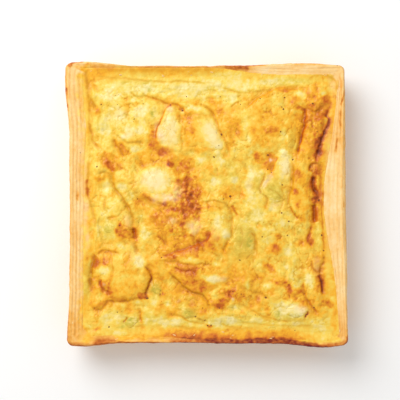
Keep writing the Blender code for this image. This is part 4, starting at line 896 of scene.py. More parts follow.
def paint(x, y, cavity):
    """Toasting, green, blush and painted olive shade of the skin at each place, each from 0 to 1.

    cavity is how far the place lies below the skin round it, in millimetres.
    """
    spots = flat_points(x, y)
    px, py = drifted(x, y, STAIN_DRIFT)
    toast = PLAIN_TOAST + 0.16 * fractal(spots, 22.0, 4, 50.0)
    for rows in WASHES.values():
        for row in rows:
            toast += (row[5] - toast) * (row[6] * patch(px, py, row))
    torn = roughness_at(x, y)
    mottle = fractal(spots, 5.0, 4, 60.0)
    speckle = fractal(spots, 1.9, 3, 65.0)
    lines = skin_veins(spots)
    toast += np.where(toast > MIDDLE_TOAST, 0.30, 0.12) * (toast - MIDDLE_TOAST)
    toast = pressed(toast, STAIN_LIMIT + 0.08 * torn + 0.34 * np.clip(mottle, 0, 0.6), 0.25)
    creases = wrinkles(x, y)
    # Painted shade and light: the wrinkles' grooves a little browner, their ridges a little paler
    toast += 0.05 * np.clip(-creases - 0.2, 0, 1) - 0.06 * np.clip(creases - 0.3, 0, 1)
    toast += (0.16 + 0.06 * torn) * mottle + (0.06 + 0.16 * torn) * speckle + 0.14 * lines
    toast = pressed(toast, SPECK_LIMIT, 0.35)
    # Painted shade in the hollows, in the fine cracks and in the wrinkles' grooves
    shade = 0.36 * np.clip(cavity, 0, 1.5) + 0.20 * lines + 0.10 * np.clip(-creases, 0, 1)
    green, blush = strongest(px, py, GREENS), strongest(px, py, BLUSHES)
    lx, ly = drifted(x, y, FOLD_DRIFT)
    uneven = np.clip(0.95 + 0.9 * fractal(spots, 4.0, 2, 91.0), 0.5, 1.2)
    for _, width, _, stain, olive, *points in FOLDS.values():
        found, distance, _, along = near_line(lx, ly, curve_through(points), STAIN_REACH)
        ends = tapered(along) * uneven[found]
        core = np.clip(1.1 * ends * np.exp(-((distance / (0.95 * width)) ** 1.5)), 0, 1)
        halo = 0.42 * ends * np.exp(-((distance / (2.6 * width)) ** 1.5))
        cover = np.maximum(core * 0.95, halo)
        toast[found] += (stain - toast[found]) * cover
        # Each fold's olive darkens its line: the olive tint of its hollow, and painted shade in it
        shade[found] = np.maximum(shade[found], olive * core)
        green[found] *= 1 - 0.6 * core
        blush[found] *= 1 - core
    green *= np.clip(0.75 + 0.9 * mottle + 0.8 * speckle, 0.15, 1)
    return toast, green, blush * np.clip(0.8 + mottle, 0, 1), shade


def blurred(field, radius):
    """A grid of values, each the mean of the square round it."""
    size = 2 * radius + 1
    for axis in (0, 1):
        pad = [(radius + 1, radius) if a == axis else (0, 0) for a in (0, 1)]
        total = np.cumsum(np.pad(field, pad, mode="edge"), axis=axis)
        top = np.take(total, range(size, total.shape[axis]), axis=axis)
        field = (top - np.take(total, range(0, total.shape[axis] - size), axis=axis)) / size
    return field


def curve_round(outline):
    """An outline's middle, and its distance from there in each of the given directions."""
    middle = np.mean(outline, axis=0)
    away = np.array(outline, float) - middle
    angle, far = np.arctan2(away[:, 1], away[:, 0]), np.hypot(away[:, 0], away[:, 1])
    order = np.argsort(angle)
    angle, far = angle[order], far[order]
    angle = np.concatenate([[angle[-1] - 2 * math.pi], angle, [angle[0] + 2 * math.pi]])
    far = np.concatenate([[far[-1]], far, [far[0]]])

    def reach(direction):
        i = np.clip(np.searchsorted(angle, direction) - 1, 0, len(angle) - 2)
        t = (direction - angle[i]) / (angle[i + 1] - angle[i])
        return far[i] + (far[i + 1] - far[i]) * eased(t)

    return middle, reach


# Meshes


def rim_heights(settings, x, y):
    """Height of the pastry's rim beside each of these places."""
    points, facts = case_points(settings)
    across, height = facts[:2]
    near = points[(across > 0.02) & (height > 33.0)]
    tree = KDTree(len(near))
    for i, place in enumerate(near.tolist()):
        tree.insert((place[0], place[1], 0.0), i)
    tree.balance()
    places = zip(x.tolist(), y.tolist())
    found = [tree.find_n((*place, 0.0), RIM_NEIGHBOURS) for place in places]
    return np.mean([[near[i, 2] for _, i, _ in each] for each in found], axis=1)


def banks(x, y):
    """How far the skin climbs against the pieces of brie, in millimetres."""
    total = np.zeros_like(x)
    for _, proud, *outline in BRIE.values():
        middle, reach = curve_round(outline)
        dx, dy = x - middle[0], y - middle[1]
        outside = np.clip(np.hypot(dx, dy) - reach(np.arctan2(dy, dx)), 0, 12)
        total = np.maximum(total, BANK_SHARE * proud * hump(outside, BANK_WIDTH))
    return total


def linked(name, data):
    """A new object in the scene."""
    made = bpy.data.objects.new(name, data)
    bpy.context.scene.collection.objects.link(made)
    return made


def new_object(name, points, faces, marks=None, smooth=True):
    """An object from points in millimetres. marks are four values a point, which its material reads."""
    mesh = bpy.data.meshes.new(name)
    mesh.from_pydata((np.asarray(points) * MM).tolist(), [], faces)
    mesh.validate()
    if smooth:
        mesh.shade_smooth()
    if marks is not None:
        layer = mesh.color_attributes.new("bake_marks", "FLOAT_COLOR", "POINT")
        layer.data.foreach_set("color", np.clip(marks, 0, 1).astype(np.float32).ravel())
    return linked(name, mesh)


def grid_faces(rows, columns, wraps, first=0):
    """Four-sided faces over a grid of points that is numbered row by row."""
    last = columns if wraps else columns - 1
    i, j = np.meshgrid(np.arange(rows - 1), np.arange(last), indexing="ij")
    k = (j + 1) % columns
    low, high = i * columns, (i + 1) * columns
    corners = np.stack([low + j, low + k, high + k, high + j], axis=-1)
    return (first + corners.reshape(-1, 4)).tolist()


def finish_piece(made, material, slot, *nodes):
    made.data.materials.append(material)
    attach(made, "root")
    if nodes:
        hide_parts(*nodes)
    return made


# Materials


def feed(tree, socket, value):
    """Links another node's output to a socket, or sets the socket's own value."""
    if isinstance(value, bpy.types.NodeSocket):
        tree.links.new(value, socket)
    else:
        socket.default_value = value


def add_node(tree, kind, settings=None, **values):
    """A node with these settings, and values for its inputs. Names of inputs have _ for a space."""
    made = tree.nodes.new(kind)
    for key, value in (settings or {}).items():
        setattr(made, key, value)
    for key, value in values.items():
        socket = made.inputs[int(key[1:])] if key[1:].isdigit() else made.inputs[key.replace("_", " ")]
        feed(tree, socket, value)
    return made


def maths(tree, operation, a, b, clamp=False):
    made = add_node(tree, "ShaderNodeMath", {"operation": operation, "use_clamp": clamp}, i0=a, i1=b)
    return made.outputs[0]


def mixed(tree, factor, a, b, blend="MIX"):
    """One colour over another."""
    made = tree.nodes.new("ShaderNodeMix")
    made.data_type, made.blend_type = "RGBA", blend
    for name, value in (("Factor_Float", factor), ("A_Color", a), ("B_Color", b)):
        feed(tree, next(s for s in made.inputs if s.identifier == name), value)
    return next(s for s in made.outputs if s.identifier == "Result_Color")


def node_group(name, inputs, outputs):
    """A new shader node group and its input and output nodes."""
    group = bpy.data.node_groups.new(name, "ShaderNodeTree")
    for label, kind, default in inputs:
        socket = group.interface.new_socket(label, in_out="INPUT", socket_type=kind)
        socket.default_value = default
    for label, kind in outputs:
        group.interface.new_socket(label, in_out="OUTPUT", socket_type=kind)
    return group, group.nodes.new("NodeGroupInput"), group.nodes.new("NodeGroupOutput")


FLOAT, COLOUR, VECTOR = "NodeSocketFloat", "NodeSocketColor", "NodeSocketVector"
WHITE = (1.0, 1.0, 1.0, 1.0)
TONES = ("Pale", "Light", "Golden", "Brown", "Burnt")
DEEP_SHADE = (0.50, 0.42, 0.06, 1.0)


def grain_group():
    """Noise at two sizes, and a height for the bump, at the scale of baked food."""
    inputs = [("Coarse Scale", FLOAT, 300.0), ("Fine Scale", FLOAT, 1100.0)]
    inputs.append(("Stretch", VECTOR, (1.0, 1.0, 1.0)))
    outputs = [("Coarse", FLOAT), ("Fine", FLOAT), ("Height", FLOAT)]
    group, given, made = node_group("Baked Grain", inputs, outputs)
    place = add_node(group, "ShaderNodeTexCoord").outputs["Object"]
    mapped = add_node(group, "ShaderNodeMapping", Vector=place, Scale=given.outputs["Stretch"]).outputs[0]
    coarse = add_node(group, "ShaderNodeTexNoise", Vector=mapped, Scale=given.outputs["Coarse Scale"],
                      Detail=4.0, Roughness=0.6).outputs["Fac"]
    fine = add_node(group, "ShaderNodeTexNoise", Vector=mapped, Scale=given.outputs["Fine Scale"],
                    Detail=3.0, Roughness=0.65).outputs["Fac"]
    height = maths(group, "ADD", maths(group, "MULTIPLY", coarse, 0.6), maths(group, "MULTIPLY", fine, 0.4))
    for label, socket in (("Coarse", coarse), ("Fine", fine), ("Height", height)):
        group.links.new(socket, made.inputs[label])
    return group


def toasted_group():
    """Five colours from pale to burnt, picked by how toasted a place is, with the grain's mottling."""
    inputs = [("Toast", FLOAT, 0.3), ("Coarse", FLOAT, 0.5), ("Fine", FLOAT, 0.5), ("Mottle", FLOAT, 0.3)]
    inputs += [(label, COLOUR, WHITE) for label in TONES]
    group, given, made = node_group("Toasted Colour", inputs, [("Color", COLOUR), ("Toast", FLOAT)])
    coarse = maths(group, "SUBTRACT", given.outputs["Coarse"], 0.5)
    fine = maths(group, "MULTIPLY", maths(group, "SUBTRACT", given.outputs["Fine"], 0.5), 0.7)
    swing = maths(group, "MULTIPLY", maths(group, "ADD", coarse, fine), given.outputs["Mottle"])
    toast = maths(group, "ADD", given.outputs["Toast"], swing, True)
    quarters = maths(group, "MULTIPLY", toast, 4.0)
    tone = given.outputs["Pale"]
    for step, label in enumerate(TONES[1:]):
        part = maths(group, "SUBTRACT", quarters, float(step), True)
        tone = mixed(group, part, tone, given.outputs[label])
    group.links.new(tone, made.inputs["Color"])
    group.links.new(toast, made.inputs["Toast"])
    return group


def tints_and_painted_shade_group():
    """Leek green, cheese blush and painted olive shade over a toasted colour."""
    inputs = [("Color", COLOUR, WHITE), ("Green", FLOAT, 0.0), ("Blush", FLOAT, 0.0), ("Shade", FLOAT, 0.0),
              ("Olive", COLOUR, WHITE), ("Blush Color", COLOUR, WHITE)]
    group, given, made = node_group("Tints And Painted Shade", inputs, [("Color", COLOUR)])
    tone = mixed(group, given.outputs["Blush"], given.outputs["Color"], given.outputs["Blush Color"])
    tone = mixed(group, given.outputs["Green"], tone, given.outputs["Olive"])
    # Painted shade: the colour darkened towards olive brown as far as the shade mark goes
    dark = mixed(group, 1.0, tone, DEEP_SHADE, "MULTIPLY")
    group.links.new(mixed(group, given.outputs["Shade"], tone, dark), made.inputs["Color"])
    return group


def four(values):
    return (*values, 1.0)


def group_node(tree, name, maker, **values):
    """A node that shows a group. The group is made when it is first needed."""
    group = bpy.data.node_groups.get(name) or maker()
    return add_node(tree, "ShaderNodeGroup", {"node_tree": group}, **values)


def toasted_tone(tree, toast, grain, mottle, tones):
    made = group_node(tree, "Toasted Colour", toasted_group, Toast=toast, Coarse=grain.outputs["Coarse"],
                      Fine=grain.outputs["Fine"], Mottle=mottle)
    for label, tone in zip(TONES, tones):
        made.inputs[label].default_value = four(tone)
    return made.outputs["Color"]


def tones_of(settings):
    return settings.pale, settings.light, settings.gold, settings.brown, settings.burnt


def bumped_normal(tree, surface, grain, strength, distance):
    height = grain.outputs["Height"]
    bumped = add_node(tree, "ShaderNodeBump", Height=height, Strength=strength, Distance=distance)
    tree.links.new(bumped.outputs["Normal"], surface.inputs["Normal"])


def new_material(name):
    """A new material, its node tree and its surface shader."""
    made = bpy.data.materials.new(name)
    made.use_nodes = True
    return made, made.node_tree, made.node_tree.nodes["Principled BSDF"]


def baked_material(name, tones, roughness, mottle, bump, scales, stretch=(1.0, 1.0, 1.0), coat=0.0,
                   tints=None, egg_tones=None):
    """A baked surface whose colour follows the marks on its mesh: red is how toasted it is, and alpha the
    painted shade. Green and blue are the leek green and the blush.

    tints are the olive and blush colours. With egg_tones, the marks' green is how much egg covers the
    place instead, and their blue is how toasted that egg is.
    """
    made, tree, surface = new_material(name)
    marks = add_node(tree, "ShaderNodeVertexColor", {"layer_name": "bake_marks"})
    parts = add_node(tree, "ShaderNodeSeparateColor", Color=marks.outputs["Color"])
    grain = group_node(tree, "Baked Grain", grain_group, Coarse_Scale=scales[0], Fine_Scale=scales[1],
                       Stretch=stretch)
    tone = toasted_tone(tree, parts.outputs["Red"], grain, mottle, tones)
    if egg_tones:
        egg = toasted_tone(tree, parts.outputs["Blue"], grain, mottle, egg_tones)
        tone = mixed(tree, parts.outputs["Green"], tone, egg)
    tinted_and_shaded = group_node(tree, "Tints And Painted Shade", tints_and_painted_shade_group, Color=tone, Shade=marks.outputs["Alpha"])
    if tints:
        tree.links.new(parts.outputs["Green"], tinted_and_shaded.inputs["Green"])
        tree.links.new(parts.outputs["Blue"], tinted_and_shaded.inputs["Blush"])
        tinted_and_shaded.inputs["Olive"].default_value = four(tints[0])
        tinted_and_shaded.inputs["Blush Color"].default_value = four(tints[1])
    tree.links.new(tinted_and_shaded.outputs["Color"], surface.inputs["Base Color"])
    ends = {"From_Min": 0.3, "From_Max": 0.7, "To_Min": roughness - 0.1, "To_Max": roughness + 0.12}
    gloss = add_node(tree, "ShaderNodeMapRange", Value=grain.outputs["Coarse"], **ends)
    tree.links.new(gloss.outputs["Result"], surface.inputs["Roughness"])
    bumped_normal(tree, surface, grain, bump, 0.0006)
    surface.inputs["Metallic"].default_value = 0.0
    surface.inputs["Specular IOR Level"].default_value = 0.3
    surface.inputs["Coat Weight"].default_value = coat
    surface.inputs["Coat Roughness"].default_value = 0.25
    return made


def skin_material(scene, name, **how):
    """The filling's skin, as it also lies over the brie and the leek."""
    own = scene.quiche_filling
    return baked_material(name, tones_of(own), tints=(own.olive, own.blush), **how)


# The pastry case


def case_profile():
    """Rings up the outside, over the rim and down inside: across, inset, corner radius, height, ridge."""
    rows = [
        (0.0, 6.4, 7.0, 0.0, 0.0),
        (0.0, 4.6, 7.0, 0.4, 0.0),
        (0.0, 3.9, 7.0, 1.8, 0.0),
        (0.0, 2.4, 6.5, 12.0, 0.0),
        (0.0, 1.3, 6.0, 24.0, 0.0),
        (0.0, 0.2, 5.0, 27.5, 0.0),
        (0.0, 0.9, 4.5, 30.0, 0.0),
        (0.0, 0.0, 4.2, 32.6, 0.0),
        (0.05, 0.0, 4.0, RIM_HEIGHT - 1.0, 0.0),
    ]
    steps = 2 * RIM_LEAVES
    for i in range(steps):
        part = (i + 0.5) / steps
        height = RIM_HEIGHT + 0.4 - RIM_SAG * part
        rows.append((0.12 + 0.80 * part, 0.0, 4.0 + 2.6 * part, height, LEAF_DEPTH * (-1) ** i))
    rows.append((1.0, 0.0, CAVITY_RADIUS, FILLING_EDGE_HEIGHT + 0.6, 0.0))
    rows.append((1.0, 0.3, CAVITY_RADIUS, 31.0, 0.0))
    rows.append((1.0, WALL_LEAN, CAVITY_RADIUS, BASE_THICKNESS, 0.0))
    finer = [3, 2, 10, 12, 8, 7, 7, 5, 4] + [5] * steps + [3, 1]
    dense = []
    for low, high, pieces in zip(rows, rows[1:], finer):
        for i in range(pieces):
            t = i / pieces
            dense.append([a + (b - a) * t for a, b in zip(low, high)])
    return np.array([*dense, rows[-1]])


def case_places(side_cells):
    """Places round the unit square, counter-clockwise, and a little closer together at the corners."""
    steps = np.linspace(-1, 1, side_cells, endpoint=False)
    steps = steps + 0.08 * np.sin(math.pi * steps) / math.pi
    side = np.stack([steps, np.full_like(steps, -1.0)], axis=-1)
    places = []
    for _ in range(4):
        places.append(side)
        side = np.stack([-side[:, 1], side[:, 0]], axis=-1)
    return np.vstack(places)


def case_points(settings):
    """The case's points, row by row, with the values its painting needs."""
    rings, places = case_profile(), case_places(settings.side_cells)
    across, inset, radius, height, ridge = (rings[:, i, None] for i in range(5))
    u = places[None, :, 0] + 0 * across
    v = places[None, :, 1] + 0 * across
    u, v = rounded(u, v, radius)
    x, y = stretched(u, v, across, inset)
    z = height + 0 * x
    loose = (height > 0.2) & (across < 1.0)
    spots = np.stack([x, y, z], axis=-1)
    sides = np.clip((np.abs(u) ** 6 - np.abs(v) ** 6) * 1.5, -1, 1)
    flaky = np.clip(sides + 0.35, 0, 1)
    rise = ramp(height, 0, RIM_HEIGHT) ** 4
    away = np.stack([x, y], axis=-1) / np.hypot(x, y)[..., None]
    bulge = WALL_WAVE * plain_noise(spots * (1, 1, 3), 26.0, (0, 0, 0))
    bulge += 0.30 * fractal(spots, 7.0, 3, 3.0) * ramp(height, 0, 6)
    bulge += wall_sag(x, v, z)
    z += rise * RIM_WAVE * plain_noise(spots * (1, 1, 0), 34.0, (4, 7, 1))
    z += ridge * flaky * (0.7 + 0.6 * plain_noise(spots * (1, 1, 0) + (0, 0, 9), 14.0, (0, 0, 0)))
    z += rise * 0.8 * (np.abs(u) * np.abs(v)) ** 5
    length_way = np.where(sides[..., None] > 0, [1.0, 0.07, 1.0], [0.07, 1.0, 1.0])
    length_way = np.where(np.abs(sides[..., None]) > 0.2, length_way, [0.5, 0.5, 1.0])
    leaf = settings.leaf_size / MM
    on_rim = (across > 0.02) & (across < 0.99)
    leaves = 1 - 2 * np.abs(fractal(spots * length_way + (0, 0, 3), leaf * 1.8, 2, 21.0))
    side_leaves = np.sin((z + 1.4 * fractal(spots, 16.0, 2, 25.0)) * 2 * math.pi / (1.5 * leaf))
    tear = np.clip(0.5 + 1.4 * fractal(spots, 9.0, 3, 27.0), 0, 1)
    upper = ramp(height, 21, 26) * (across < 0.1)
    relief = settings.leaf_relief / MM
    z += np.where(on_rim, relief * 1.15 * leaves * (0.4 + 0.8 * tear), 0)
    bulge += np.where(upper > 0, relief * 1.3 * side_leaves * tear * upper, 0)
    crumbly = 0.10 * fractal(spots, 1.5, 2, 29.0)
    bulge += crumbly
    z += np.where(on_rim, crumbly, 0)
    x = x + np.where(loose, away[..., 0] * bulge, 0)
    y = y + np.where(loose, away[..., 1] * bulge, 0)
    points = np.stack([x, y, np.where(loose, z, height)], axis=-1)
    return points, (across + 0 * x, height + 0 * x, sides, side_leaves, tear)


def paint_case(points, facts):
    """Marks for each point: the pastry's toasting, how much egg covers it, the egg's toasting, the painted
    shade.
    """
    across, height, sides, side_leaves, tear = facts
    x, y = points[..., 0], points[..., 1]
    shape = x.shape
    side, end = np.clip(sides, 0, 1), np.clip(-sides, 0, 1)
    # The rim's top: streaks along its leaves, with the front and its corners browner than the back
    along = np.where(sides[..., None] > 0, [1.0, 0.06, 0.6], [0.06, 1.0, 0.6])
    streak = fractal(points * along, 1.9, 3, 71.0)
    broad = fractal(points * along, 5.0, 3, 73.0)
    cloud = fractal(points, 12.0, 3, 75.0)
    top = 0.26 + 0.03 * streak + 0.05 * broad + 0.15 * cloud
    top -= 0.10 * end * (y > 0) * soft_step(x, 36, 6)
    top += side * np.where(x > 0, -0.04, 0.04)
    top += 0.05 * end + 0.12 * ramp(y, -60, -90) + 0.10 * hump(across, 0.12)
    near_front = ramp(y, -55, -80)
    top += 0.08 * near_front * ramp(x, 84, 88) + 0.06 * near_front * ramp(x, -84, -90) * (y < -84)
    top += 0.05 * side * ramp(y, 20, 40) * (x > 0)
    # The walls: browner at the foot, and where they are torn under the rim
    wall = 0.46 + 0.10 * cloud + 0.10 * fractal(points * (1, 1, 2.5), 4.0, 3, 77.0) - 0.04 * side_leaves
    wall += 0.10 * hump(height, 5) + 0.12 * hump(height - 28, 2) * tear
    toast = (wall + (top - wall) * ramp(height, 30, 34)).ravel()
    # The table's marks, which leave less egg the darker they are
    clear = np.ones_like(toast)
    px, py = drifted(x.ravel(), y.ravel(), RIM_DRIFT)
    high = ramp(height + 1.6 * fractal(points, 5.0, 3, 87.0), 28.5, 33.0).ravel()
    for width, stain, strength, *marked in RIM_MARKS:
        found, distance, _, where = near_line(px, py, curve_through(marked), RIM_REACH)
        cover = strength * tapered(where) * np.exp(-((distance / (1.25 * width)) ** 3)) * high[found]
        toast[found] += (stain - toast[found]) * cover
        clear[found] *= 1 - cover * min(1, 1.6 * stain)
    clear = clear.reshape(shape)
    toast = toast.reshape(shape) + (0.06 + 0.10 * (1 - clear)) * fractal(points, 2.2, 3, 79.0)
    # Egg baked onto the rim, from a line that lies further in on some sides than on others
    back_start = 0.10 + 0.80 * soft_step(x, 28, 8)
    side_start = np.where(x < 0, 0.52 + 0.25 * hump(y + 5, 40), 0.84)
    start = np.where(sides > 0, side_start, np.where(y > 0, back_start, 0.22))
    edge = across + 0.30 * fractal(points, 6.0, 3, 83.0) - start
    egg = clear * np.clip(edge * 3.0, 0, 1) * (height > 30) * (across < 1.01)
    egg_toast, shade = np.full(shape, 0.3), np.zeros(shape)
    under = (egg > 0).ravel()
    found = paint(x.ravel()[under], y.ravel()[under], np.zeros(under.sum()))
    # The egg on the rim takes the skin's painted shade
    egg_toast.ravel()[under], shade.ravel()[under] = found[0], 0.8 * found[3]
    # Shade on the upper walls, under the rim
    gloom = 0.35 * ramp(height, 31, 25) * ramp(height, 12, 20)
    return np.stack([toast, egg, egg_toast, np.maximum(gloom, shade * egg)], axis=-1)


class QUICHE_OT_pastry_case(bpy.types.Operator):
    """Build the puff pastry case with its flaky rim"""

    bl_idname = "quiche.pastry_case"
    bl_label = "Pastry case"

    def execute(self, context):
        own = context.scene.quiche_pastry
        points, facts = case_points(own)
        rows, columns = points.shape[:2]
        faces = grid_faces(rows, columns, True)
        faces += [list(range(columns))[::-1], [(rows - 1) * columns + j for j in range(columns)]]
        marks = paint_case(points, facts)
        made = new_object("puff_pastry_case", points.reshape(-1, 3), faces, marks.reshape(-1, 4))
        look = baked_material("puff_pastry", tones_of(own), roughness=own.roughness, mottle=0.22, bump=0.5,
                              scales=(420.0, 1500.0), egg_tones=tones_of(context.scene.quiche_filling))
        finish_piece(made, look, "baked_pastry", "pastry_case")
        return {"FINISHED"}


# The filling


class QUICHE_OT_egg_filling(bpy.types.Operator):
    """Build the filling with its puffed, folded and browned skin"""

    bl_idname = "quiche.egg_filling"
    bl_label = "Egg filling"

    def execute(self, context):
        own = context.scene.quiche_filling
        size = own.cells + 1
        steps = np.linspace(-1, 1, size)
        u, v = np.meshgrid(steps, steps)
        out = np.maximum(np.maximum(np.abs(u), np.abs(v)), 0.5)
        border_u, border_v = rounded(u / out, v / out, CAVITY_RADIUS)
        u, v = rounded(u, v, CAVITY_RADIUS)
        x, y = stretched(u, v, 1.0, -SKIN_LAP)
        z = skin_height(x.ravel(), y.ravel(), own.fold_depth, own.crumple).reshape(size, size)
        z += banks(x, y)
        z = pressed(z, SKIN_CREST, CREST_SHARE)
        inside = HALF_SIDE * (1 - np.maximum(np.abs(u), np.abs(v)))
        # How far each place lies below the skin round it, which paint turns into painted shade in the
        # hollows
        cavity = (0.5 * (blurred(z, 3) - z) + 0.6 * (blurred(z, 9) - z)) * ramp(inside, 0, 7)
        edge = inside < SKIN_BLEND
        beside = stretched(border_u[edge], border_v[edge], 1.0, -SKIN_LAP)
        rim = rim_heights(context.scene.quiche_pastry, *beside) - SKIN_BELOW_RIM
        z[edge] = rim + (z[edge] - rim) * eased(inside[edge] / SKIN_BLEND)
        toast, green, blush, shade = paint(x.ravel(), y.ravel(), cavity.ravel())
        top = np.stack([x, y, z], axis=-1).reshape(-1, 3)
        marks = np.stack([toast, green, blush, shade], axis=-1)
        grid = np.arange(size * size).reshape(size, size)
        border = np.concatenate([grid[0, :-1], grid[:-1, -1], grid[-1, :0:-1], grid[:0:-1, 0]])
        foot_x, foot_y = stretched(u.ravel()[border], v.ravel()[border], 1.0, WALL_LEAN + 0.5)
        foot = flat_points(foot_x, foot_y, BASE_THICKNESS + 0.5)
        first = size * size
        faces = grid_faces(size, size, False)
        ring = np.arange(len(border))
        after = np.roll(ring, -1)
        faces += np.stack([border, first + ring, first + after, border[after]], axis=-1).tolist()
        faces.append((first + ring)[::-1].tolist())
        points, marks = np.vstack([top, foot]), np.vstack([marks, marks[border]])
        made = new_object("egg_and_leek_filling", points, faces, marks)
        look = skin_material(context.scene, "baked_egg_skin", roughness=own.roughness, mottle=0.20,
                             bump=0.45, scales=(330.0, 1200.0), coat=0.12)
        finish_piece(made, look, "baked_custard", "egg_filling")
        return {"FINISHED"}


def set_in_piece(row, cells, hugging, wobble):
    """A piece of cheese or leek in the form of its solid, with finer relief, painted as the skin is.

    A hugging piece follows the filling's ups and downs.
    """
    thickness, proud, *outline = row
    middle, reach = curve_round(outline)
    rows = cells // 2
    polar = np.linspace(0.5 * math.pi, -0.5 * math.pi, rows + 1)[1:-1, None]
    angle = np.linspace(-math.pi, math.pi, cells, endpoint=False)[None, :]
    out = np.cos(polar) ** 0.55 * reach(angle)
    x, y = middle[0] + out * np.cos(angle), middle[1] + out * np.sin(angle)
    rise = np.copysign(np.abs(np.sin(polar)) ** 0.8, polar) * thickness / 2
    level = skin_height(*(np.array([m]) for m in middle))[0]
    ground = skin_height(x.ravel(), y.ravel(), crumple=0.4).reshape(x.shape) if hugging else level
    spots = np.stack([x, y, rise + 0 * x], axis=-1)
    lumps = wobble * (fractal(spots, 5.0, 3, 15.0) + 0.5 * fractal(spots, 1.8, 2, 17.0))
    z = ground + proud - thickness / 2 + rise + lumps * (rise > -1)
    points = np.stack([x, y, z], axis=-1).reshape(-1, 3)
    top = [middle[0], middle[1], z[0].mean()]
    foot = [middle[0], middle[1], z[-1].mean()]
    points = np.vstack([points, top, foot])
    last = len(points) - 2
    faces = [[a, d, c, b] for a, b, c, d in grid_faces(len(polar), cells, True)]
    faces += [[last, j, (j + 1) % cells] for j in range(cells)]
    low = (len(polar) - 1) * cells
    faces += [[last + 1, low + (j + 1) % cells, low + j] for j in range(cells)]
    toast, green, blush, shade = paint(points[:, 0], points[:, 1], np.zeros(len(points)))
    return points, faces, np.stack([toast, green, blush, shade], axis=-1)


def set_in_pieces(rows, prefix, look, slot, cells, hugging, wobble):
    """All the pieces of a table, each in place of the solid that its row is named after."""
    for node, row in rows.items():
        points, faces, marks = set_in_piece(row, cells, hugging, wobble)
        made = new_object(prefix + node, points, faces, marks)
        finish_piece(made, look, slot, node)


class QUICHE_OT_brie(bpy.types.Operator):
    """Build the pieces of brie that show through the skin"""

    bl_idname = "quiche.brie"
    bl_label = "Brie"

    def execute(self, context):
        cells = context.scene.quiche_topping.cheese_cells
        look = skin_material(context.scene, "melted_brie", roughness=0.36, mottle=0.10, bump=0.25,
                             scales=(260.0, 900.0), coat=0.15)
        set_in_pieces(BRIE, "melted_", look, "brie", cells, hugging=False, wobble=0.22)
        return {"FINISHED"}


class QUICHE_OT_leek(bpy.types.Operator):
    """Build the pieces of leek under their thin skin of egg"""

    bl_idname = "quiche.leek"
    bl_label = "Leek"

    def execute(self, context):
        own = context.scene.quiche_topping
        fibre = 1.0 / own.leek_fibre
        look = skin_material(context.scene, "cooked_leek", roughness=0.36, mottle=0.16, bump=0.5,
                             scales=(fibre, 2 * fibre), stretch=(0.25, 1.0, 1.0), coat=0.2)
        set_in_pieces(LEEK, "cooked_", look, "leek", own.leek_cells, hugging=True, wobble=0.10)
        return {"FINISHED"}


# Small things


def lumps_mesh(name, lumps, seed):
    """Small uneven lumps joined into one mesh. Each has its place, its half-widths and a turn."""
    golden = (1 + math.sqrt(5)) / 2
    corners = [(a, b * golden, 0) for a in (-1, 1) for b in (-1, 1)]
    corners += [(0, a, b * golden) for a in (-1, 1) for b in (-1, 1)]
    corners += [(b * golden, 0, a) for a in (-1, 1) for b in (-1, 1)]
    corners = np.array(corners) / math.hypot(1, golden)
    near = 1.06 * min(np.linalg.norm(corners[0] - c) for c in corners[1:])
    sides = []
    for i in range(12):
        for j in range(i + 1, 12):
            for k in range(j + 1, 12):
                a, b, c = corners[i], corners[j], corners[k]
                if max(np.linalg.norm(a - b), np.linalg.norm(b - c), np.linalg.norm(a - c)) < near:
                    sides.append([i, j, k] if np.dot(np.cross(b - a, c - a), a) > 0 else [i, k, j])
    chance = np.random.default_rng(seed)
    points, faces = [], []
    for (x, y, z), (wide, deep, tall), turn in lumps:
        shape = corners * chance.uniform(0.72, 1.15, (12, 1)) * (wide, deep, tall)
        c, s = math.cos(turn), math.sin(turn)
        faces += [[len(points) * 12 + i for i in side] for side in sides]
        along, over = c * shape[:, 0] - s * shape[:, 1], s * shape[:, 0] + c * shape[:, 1]
        points.append(np.stack([x + along, y + over, z + shape[:, 2]], axis=-1))
    return new_object(name, np.vstack(points), faces, smooth=False)


# Rays down onto the quiche start this high, in metres
RAY_START = 0.2


def surface_height(x, y):
    """The highest visible surface of the quiche under a place, in millimetres."""
    graph = bpy.context.evaluated_depsgraph_get()
    above = Vector((x * MM, y * MM, RAY_START))
    hit, spot, *_ = bpy.context.scene.ray_cast(graph, above, Vector((0, 0, -1)))
    if not hit:
        raise RuntimeError(f"no surface under {x}, {y}")
    return spot.z / MM


def simple_material(name, tone, roughness, spread):
    """A colour for small things, with specks that are spread times as light."""
    made, tree, surface = new_material(name)
    grain = group_node(tree, "Baked Grain", grain_group, Coarse_Scale=500.0, Fine_Scale=1800.0)
    other = tuple(min(1.0, c * spread) for c in tone)
    speckled = mixed(tree, grain.outputs["Coarse"], four(tone), four(other))
    tree.links.new(speckled, surface.inputs["Base Color"])
    bumped_normal(tree, surface, grain, 0.4, 0.0003)
    surface.inputs["Roughness"].default_value = roughness
    return made


class QUICHE_OT_pepper(bpy.types.Operator):
    """Scatter the ground pepper"""

    bl_idname = "quiche.pepper"
    bl_label = "Pepper"

    def execute(self, context):
        own = context.scene.quiche_topping
        chance = np.random.default_rng(own.seed)
        lumps = []
        for x, y, size in PEPPER:
            spread = chance.uniform(0.6, 1.1, 2) * size
            place = (x, y, surface_height(x, y))
            lumps.append((place, (*spread, 0.25 + 0.2 * size), chance.uniform(0, 3)))
        for _ in range(PEPPER_DUST):
            x, y = chance.uniform(-DUST_REACH, DUST_REACH, 2)
            size = chance.uniform(0.12, 0.28)
            place = (x, y, surface_height(x, y) + 0.03)
            lumps.append((place, (size, size * 0.8, 0.2), chance.uniform(0, 3)))
        made = lumps_mesh("ground_pepper", lumps, own.seed)
        look = simple_material("pepper", tuple(own.pepper), roughness=0.6, spread=2.2)
        finish_piece(made, look, "baked_custard")
        return {"FINISHED"}


